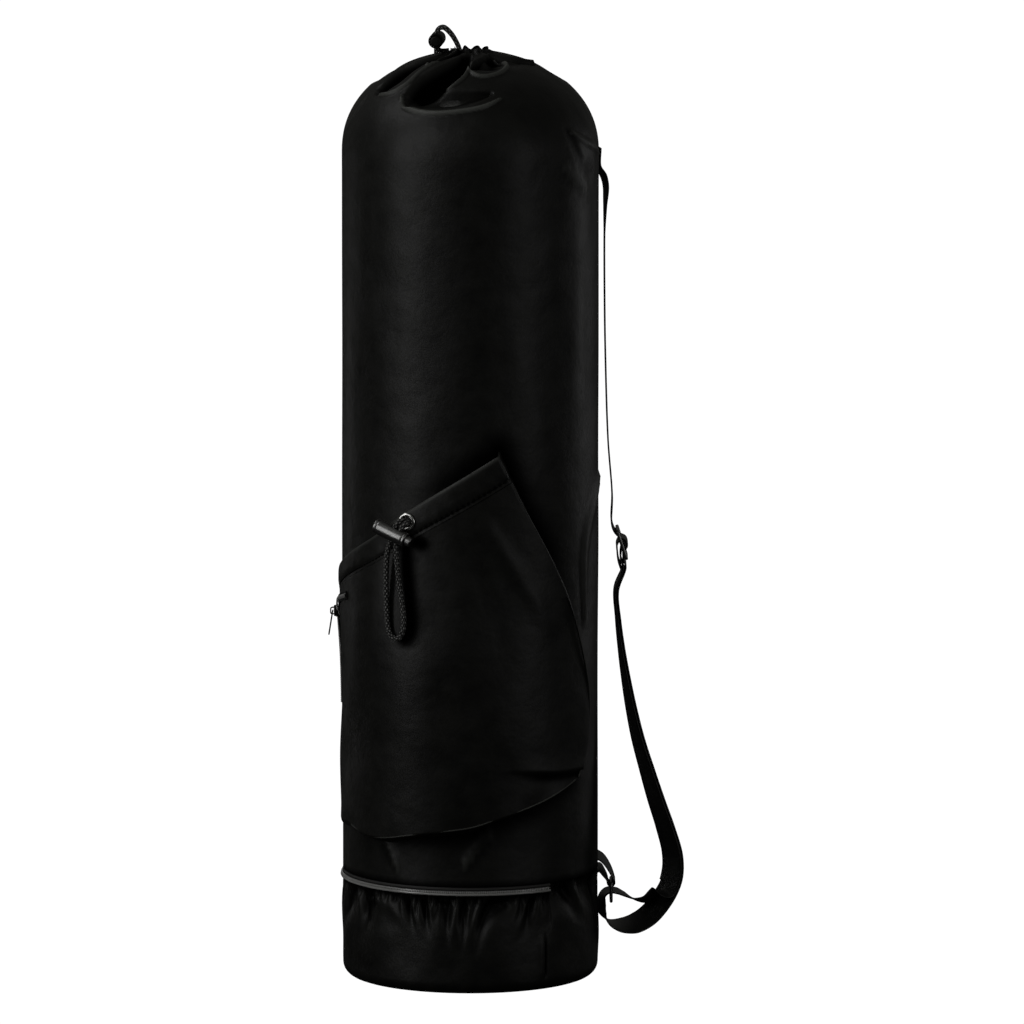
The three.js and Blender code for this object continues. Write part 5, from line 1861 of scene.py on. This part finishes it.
def build_cords(workshop: Workshop) -> None:
    """Makes both drawcords with their locks."""
    tilt = np.array(Matrix.Rotation(math.radians(POCKET_LOCK_TILT), 4, "Z"))
    pocket_frame = frame_of(POCKET_LOCK_AXES, POCKET_LOCK_PLACE) @ tilt
    top_frame = frame_of(TOP_LOCK_AXES, TOP_LOCK_PLACE)
    for lock, frame, cord, button in (
        (CordLock("pocket_lock"), pocket_frame, POCKET_CORD, Body.POCKET_BUTTON),
        (CordLock("top_lock", finish=DARK_METAL), top_frame, TOP_CORD, Body.TOP_BUTTON),
    ):
        cord.build(workshop, lock.build(workshop, frame, cord.diameter, button))


class Scale(Enum):
    """The size that a strap stop's rise is a share of, in metres."""

    SHOULDER = 0.616
    SEAM = 0.081


@dataclass(frozen=True)
class Stop:
    """A stop of the webbing's middle, as shares, with its lean about the run in degrees."""

    out: float
    rise: float
    lean: float
    aside: float = 0.0


def stops_of(*rows: tuple[float, ...]) -> tuple[Stop, ...]:
    """Stops from rows of numbers."""
    return tuple(Stop(*row) for row in rows)


UPPER_RUN = stops_of(
    (-0.0037, 1.0032, -9.7), (-0.0037, 0.9805, -9.7), (0.0358, 0.9692, -12),
    (0.0568, 0.9562, -9), (0.0526, 0.9334, -4), (0.0474, 0.901, 0), (0.0484, 0.8279, 0),
    (0.0547, 0.7581, 0), (0.0768, 0.6494, 0), (0.1095, 0.5812, 0),
)
HANGING_RUN = stops_of(
    (0.1537, 0.4659, -2), (0.1684, 0.4286, -4), (0.1958, 0.392, -7), (0.2316, 0.3555, -11),
    (0.2737, 0.3192, -15), (0.3263, 0.2825, -19), (0.3937, 0.2461, -23), (0.4653, 0.2094, -27),
    (0.5411, 0.1737, -30), (0.5958, 0.1412, -33), (0.5958, 0.1169, -34), (0.5579, 0.099, -34),
)
LOWER_RUN = stops_of(
    (0.4842, 0.6111, -34), (0.4, 0.5, -33), (0.2947, 0.4247, -28), (0.1789, 0.4074, -14),
    (0.0905, 0.437, 2), (0.0379, 0.5185, 14, 0.0053), (0.0295, 0.6173, 14, 0.0053),
    (0.0484, 0.6963, 6, 0.0053), (0.0947, 0.7333, 0), (0.1474, 0.7284, 0), (0.2105, 0.6963, -3),
    (0.2842, 0.6543, -10), (0.3789, 0.6494, -22), (0.4674, 0.716, -31),
)
# Stops in the tri-glide's own frame in millimetres: outwards and up its face
THROUGH_RUN = (
    (-2.4, 17), (-2.3, 10.6), (0, 5.8), (3.4, 2.4), (3.9, 0), (3.4, -2.4), (0, -5.8),
    (-2.3, -10.6), (-2.4, -17),
)
END_RUN = (
    (-4.3, -17), (-4.3, -10.6), (-0.9, -3), (1.7, -2.2), (2.3, 0), (1.7, 2.2), (-1.4, 2.7),
    (-3.6, 0.6), (-4.9, -4), (-6.3, -11), (-6.3, -20),
)


@dataclass
class ShoulderStrap:
    """The webbing strap, its tri-glide, and the ring on its tab."""

    radius: float = 0.095
    depth: float = 0.016
    width: float = 0.025
    wall: float = 0.0013
    gap: float = 0.0003
    slider_tilt: float = 18.0
    slider_place: Stop = Stop(0.1853, 0.5227, 0)
    slider_wall: float = 0.0024
    slider_bar: float = 0.003
    slider_slot: float = 0.0074
    ring_place: Stop = Stop(0.1053, 0.7407, 0)
    ring_wire: float = 0.0024
    ring_width: float = 0.0314
    ring_height: float = 0.016
    stitch_inset: float = 0.0032
    stitch_stretch: tuple[float, float] = (0.002, 0.013)

    def place(self, stop: Stop, scale: Scale) -> Array:
        """The point of a stop."""
        aside = self.depth + self.radius * stop.aside
        return np.array([self.radius * (1 + stop.out), aside, stop.rise * scale.value])

    def on_slider(self, out: float, up: float) -> Array:
        """A point given in the tri-glide's frame in millimetres."""
        turn = math.radians(self.slider_tilt)
        aside = out * math.cos(turn) - up * math.sin(turn)
        rise = out * math.sin(turn) + up * math.cos(turn)
        return self.place(self.slider_place, Scale.SHOULDER) + np.array([aside, 0.0, rise]) * MM

    def returning(self) -> list[tuple[Array, float]]:
        """The layer that returns inside the hanging one, an even distance off it."""
        points = [self.place(stop, Scale.SHOULDER) for stop in HANGING_RUN][::-1]
        leans = [stop.lean for stop in HANGING_RUN][::-1]
        last = len(points) - 1
        stops = []
        for i, (point, lean) in enumerate(zip(points, leans, strict=True)):
            along = points[min(i + 1, last)] - points[max(i - 1, 0)]
            along = along / np.linalg.norm(along)
            turn = math.radians(lean)
            inward = np.array([-along[2] * math.cos(turn), math.sin(turn), along[0] * math.cos(turn)])
            stops.append((point + inward * (self.wall + 2 * self.gap), -lean))
        return stops

    def stops(self) -> list[tuple[Array, float]]:
        """Every stop of the strap from its anchor to its free end, with its lean."""
        stops = [(self.place(stop, Scale.SHOULDER), stop.lean) for stop in UPPER_RUN]
        stops += [(self.on_slider(out, up), 0.0) for out, up in THROUGH_RUN]
        stops += [(self.place(stop, Scale.SHOULDER), stop.lean) for stop in HANGING_RUN]
        stops += [(self.place(stop, Scale.SEAM), stop.lean) for stop in LOWER_RUN]
        stops += self.returning()
        stops += [(self.on_slider(out, up), 0.0) for out, up in END_RUN]
        return stops

    def ribbon(
        self, stops: Sequence[tuple[Array, float]], steps: int
    ) -> tuple[Shape, Array, Array, Array]:
        """Webbing with rounded selvedges along stops.

        Args:
            stops: Points of its middle line, each with a lean in degrees.
            steps: Number of steps along it.

        Returns:
            The webbing, its middle line, and its sideways and outward directions.
        """
        points = np.array([point for point, _ in stops])
        leans = np.array([lean for _, lean in stops])
        path = centripetal_spline(points, steps)
        along = unit(np.gradient(path, axis=0))
        place = np.linspace(0, len(stops) - 1, steps + 1)
        lean = np.radians(np.interp(place, np.arange(len(stops)), leans))[:, None]
        side = unit(np.array([0.0, 1.0, 0.0]) - along * along[:, 1:2])
        side = side * np.cos(lean) + np.cross(along, side) * np.sin(lean)
        out = np.cross(side, along)
        flat = np.linspace(-0.5, 0.5, 15)[1:-1] * (self.width - self.wall)
        bend = np.radians(np.linspace(-90, 90, 7))
        x = np.concatenate([flat, (self.width - self.wall) / 2 + self.wall / 2 * np.cos(bend)])
        y = np.concatenate([np.full(flat.size, -self.wall / 2), self.wall / 2 * np.sin(bend)])
        section = np.stack([np.concatenate([x, -x]), np.concatenate([y, -y])], axis=-1)
        return tube_shape(path, side, -out, section), path, side, out

    def box_stitch(self, path: Array, side: Array, out: Array) -> Shape:
        """A sewn box with a cross on the webbing's anchored end, which lies on the bag."""
        half = self.width / 2 - self.stitch_inset
        low, high = self.stitch_stretch
        length = high - low
        corners = [(0, -half), (length, -half), (length, half), (0, half), (0, -half), (length, half)]
        corners = np.array([*corners, (length, -half), (0, half)], float)
        fine = at_lengths(corners, np.linspace(0, run_lengths(corners)[-1], 300))
        line, sides, outs = (at_lengths(path, low + fine[:, 0], values) for values in (path, side, out))
        line = line + sides * fine[:, 1:2] + outs * (self.wall / 2 - 0.0001)
        return STRAP_STITCH.row(line, outs)

    def tri_glide(self) -> Shape:
        """The tri-glide: a rounded frame with two slots and a middle bar."""
        slot_width = self.width + 0.0016
        height = 2 * self.slider_slot + 3 * self.slider_bar
        middle = (self.slider_bar + self.slider_slot) / 2
        outer = rounded_box(slot_width + 2 * self.slider_bar, height, 0.0025, 8)
        slots = []
        for sign in (1, -1):
            slot = rounded_box(slot_width, self.slider_slot, 0.001)[::-1]
            slots.append(slot + np.array([0, sign * middle]))
        return plate_shape([outer, *slots], self.slider_wall, 0.0008)

    def ring(self) -> Shape:
        """The rectangular ring: round wire along a rounded rectangle."""
        wire = self.ring_wire
        line = rounded_box(self.ring_width - wire, self.ring_height - wire, 0.0018, 7)
        path = np.concatenate([line, line[:1]])
        path = at_lengths(path, np.linspace(0, run_lengths(path)[-1], 161))[:-1]
        path = np.stack([path[:, 0], path[:, 1], 0 * path[:, 0]], axis=-1)
        along = unit(np.roll(path, -1, axis=0) - np.roll(path, 1, axis=0))
        ups = np.tile([0.0, 0.0, 1.0], (len(path), 1))
        return tube_shape(path, np.cross(ups, along), ups, circle(wire / 2, 16), closed=True)

    def tab_stops(self, place: Array) -> list[tuple[Array, float]]:
        """Stops of the ring's tab, from the base seam over the ring's upper bar and back."""
        bar = place + np.array([0, 0, (self.ring_height - self.ring_wire) / 2])
        clear = self.ring_wire / 2 + self.wall / 2 + 2 * self.gap
        seam = np.array([self.radius, self.depth, Scale.SEAM.value])

        def from_seam(x: float, z: float) -> Array:
            """A point in millimetres from the seam."""
            return seam + np.array([x, 0, z]) * MM

        def from_bar(x: float, z: float) -> Array:
            """A point round the ring's bar, in shares of the webbing's distance from it."""
            return bar + np.array([x, 0, z]) * clear

        upper = from_seam(4, 2.4)
        return [
            (from_seam(-2.4, 6.4), 6),
            (from_seam(1.0, 4.6), 6),
            (upper, 5),
            ((upper + bar) / 2 + np.array([0.0016, 0, 0.0016]), 3),
            (from_bar(0.85, 0.75), 0),
            (from_bar(1, -0.2), 0),
            (from_bar(0.2, -1), 0),
            (from_bar(-0.9, -0.5), 0),
            (from_bar(-1.3, 0.9), 0),
            (from_bar(-2.2, 2.4), -3),
            (from_seam(1.2, -4.2), -6),
            (from_seam(-2.2, -5.4), -6),
        ]

    def build(self, workshop: Workshop) -> None:
        """Makes the strap, its hardware and its sewn ends."""
        shape, path, side, out = self.ribbon(self.stops(), 1800)
        workshop.piece("strap_webbing", shape, WEBBING, stands_for=["strap"], sharp_angle=80)
        workshop.piece("anchor_stitches", self.box_stitch(path, side, out), THREAD)
        turned = np.array(((0, 0, 1, 0), (1, 0, 0, 0), (0, 1, 0, 0), (0, 0, 0, 1)), float)
        tilt = np.array(Matrix.Rotation(-math.radians(self.slider_tilt), 4, "Y"))
        slider_at = frame_of(np.eye(3), self.place(self.slider_place, Scale.SHOULDER))
        glide = self.tri_glide().placed(slider_at @ tilt @ turned)
        workshop.piece("tri_glide", glide, GUNMETAL, stands_for=["strap_slider"], sharp_angle=40)
        ring_at = frame_of(np.eye(3), self.place(self.ring_place, Scale.SEAM))
        ring = self.ring().placed(ring_at @ turned)
        workshop.piece("ring_wire", ring, GUNMETAL, stands_for=["strap_ring"], weld=True)
        tab, *_ = self.ribbon(self.tab_stops(ring_at[:3, 3]), 260)
        workshop.piece("ring_webbing", tab, WEBBING, stands_for=["ring_tab"], sharp_angle=80)


# Camera, lights and floor

CAMERA_PLACE = (0.031, -7.902, 1.458)
CAMERA_TARGET = (0.031, 0, 0.347)
CAMERA_LENS = 378.0
CAMERA_SENSOR = 36.0
FLOOR_REACH = 12.0
WHITE = (1.0, 1.0, 1.0, 1.0)
SKY = (1.0, 1.0, 0.94, 1.0)


def look_from(holder: bpy.types.Object, place: Sequence[float], target: Sequence[float]) -> None:
    """Adds an object to the scene at a place, turned to look at a target."""
    holder.location = place
    aim = Vector(target) - Vector(place)
    holder.rotation_euler = aim.to_track_quat("-Z", "Y").to_euler()
    bpy.context.scene.collection.objects.link(holder)


@dataclass(frozen=True)
class AreaLight:
    """A soft rectangular light that looks at a point of the bag's axis.

    Attributes:
        name: Name of the light.
        azimuth: Direction it stands in, in degrees.
        distance: Distance from the axis.
        height: Height of its middle.
        width: Its width.
        tall: Its height.
        power: Its power in watts.
        aim: Height it looks at.
    """

    name: str
    azimuth: float
    distance: float
    height: float
    width: float
    tall: float
    power: float
    aim: float

    def place(self) -> None:
        """Adds the light to the scene."""
        data = bpy.data.lights.new(self.name, "AREA")
        data.shape = "RECTANGLE"
        data.size = self.width
        data.size_y = self.tall
        data.energy = self.power
        holder = bpy.data.objects.new(self.name, data)
        place = around(np.array(self.azimuth), self.distance, self.height).tolist()
        look_from(holder, place, (0, 0, self.aim))


LIGHTS = (
    AreaLight("band_key", -56.0, 2.2, 0.6, 0.5, 1.9, 8.5, aim=0.36),
    AreaLight("right_band", 51.0, 2.4, 0.3, 0.4, 1.8, 4.5, aim=0.28),
    AreaLight("front_fill", -38.0, 3.0, 2.0, 1.7, 1.3, 8.5, aim=0.4),
    AreaLight("left_rim", -134.0, 2.0, 0.1, 0.25, 0.5, 0.45, aim=0.1),
    AreaLight("right_rim", 122.0, 2.2, 0.15, 0.3, 1.2, 2.2, aim=0.25),
    AreaLight("top_soft", -88.0, 1.1, 1.9, 0.7, 0.7, 4.2, aim=0.62),
)


def set_camera() -> None:
    """A long lens a little above the bag, far off, as in a catalogue photograph."""
    data = bpy.data.cameras.new("camera")
    data.lens = CAMERA_LENS
    data.sensor_width = CAMERA_SENSOR
    data.clip_end = 50.0
    data.dof.use_dof = False
    holder = bpy.data.objects.new("camera", data)
    look_from(holder, CAMERA_PLACE, CAMERA_TARGET)
    bpy.context.scene.camera = holder


def set_world() -> None:
    """White where the camera sees it and dim where it lights the cloth."""
    world = bpy.data.worlds.new("studio")
    world.use_nodes = True
    tree = world.node_tree
    tree.nodes.clear()
    path = tree.nodes.new("ShaderNodeLightPath")
    mix, output = tree.nodes.new("ShaderNodeMixShader"), tree.nodes.new("ShaderNodeOutputWorld")
    tree.links.new(path.outputs["Is Camera Ray"], mix.inputs[0])
    for socket, colour, strength in ((1, SKY, 0.07), (2, WHITE, 1.1)):
        light = tree.nodes.new("ShaderNodeBackground")
        light.inputs["Color"].default_value = colour
        light.inputs["Strength"].default_value = strength
        tree.links.new(light.outputs[0], mix.inputs[socket])
    tree.links.new(mix.outputs[0], output.inputs["Surface"])
    bpy.context.scene.world = world


def set_stage() -> None:
    """A white floor that bleeds into the background, and the lights."""
    graph = Graph("floor_white")
    mesh = bpy.data.meshes.new("floor")
    signs = ((-1, -1), (1, -1), (1, 1), (-1, 1))
    corners = [(x * FLOOR_REACH, y * FLOOR_REACH, 0) for x, y in signs]
    mesh.from_pydata(corners, [], [(0, 1, 2, 3)])
    floor = bpy.data.objects.new("floor", mesh)
    bpy.context.scene.collection.objects.link(floor)
    glow = graph.node("ShaderNodeEmission", {}, {"Color": WHITE, "Strength": 1.05})
    cloth = graph.node("ShaderNodeBsdfDiffuse", {}, {"Color": (0.05, 0.05, 0.05, 1.0)})
    seen = graph.node("ShaderNodeLightPath", output="Is Camera Ray")
    shader = graph.node("ShaderNodeMixShader", {}, {0: seen, 1: cloth, 2: glow})
    graph.node("ShaderNodeOutputMaterial", {}, {"Surface": shader})
    mesh.materials.append(graph.material)
    for light in LIGHTS:
        light.place()


def main() -> None:
    """Builds the bag's looks in order."""
    logging.basicConfig(level=logging.INFO, format="%(name)s %(message)s")
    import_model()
    bpy.context.scene.view_settings.view_transform = "Standard"
    workshop = Workshop()
    set_camera()
    build_cords(workshop)
    pocket = BottlePocket(shades=cord_shades())
    BagBody(shades=pocket.shade_lines()).build(workshop)
    BagBase().build(workshop)
    pocket.build(workshop)
    ShoulderStrap().build(workshop)
    set_world()
    set_stage()


if __name__ == "__main__":
    main()
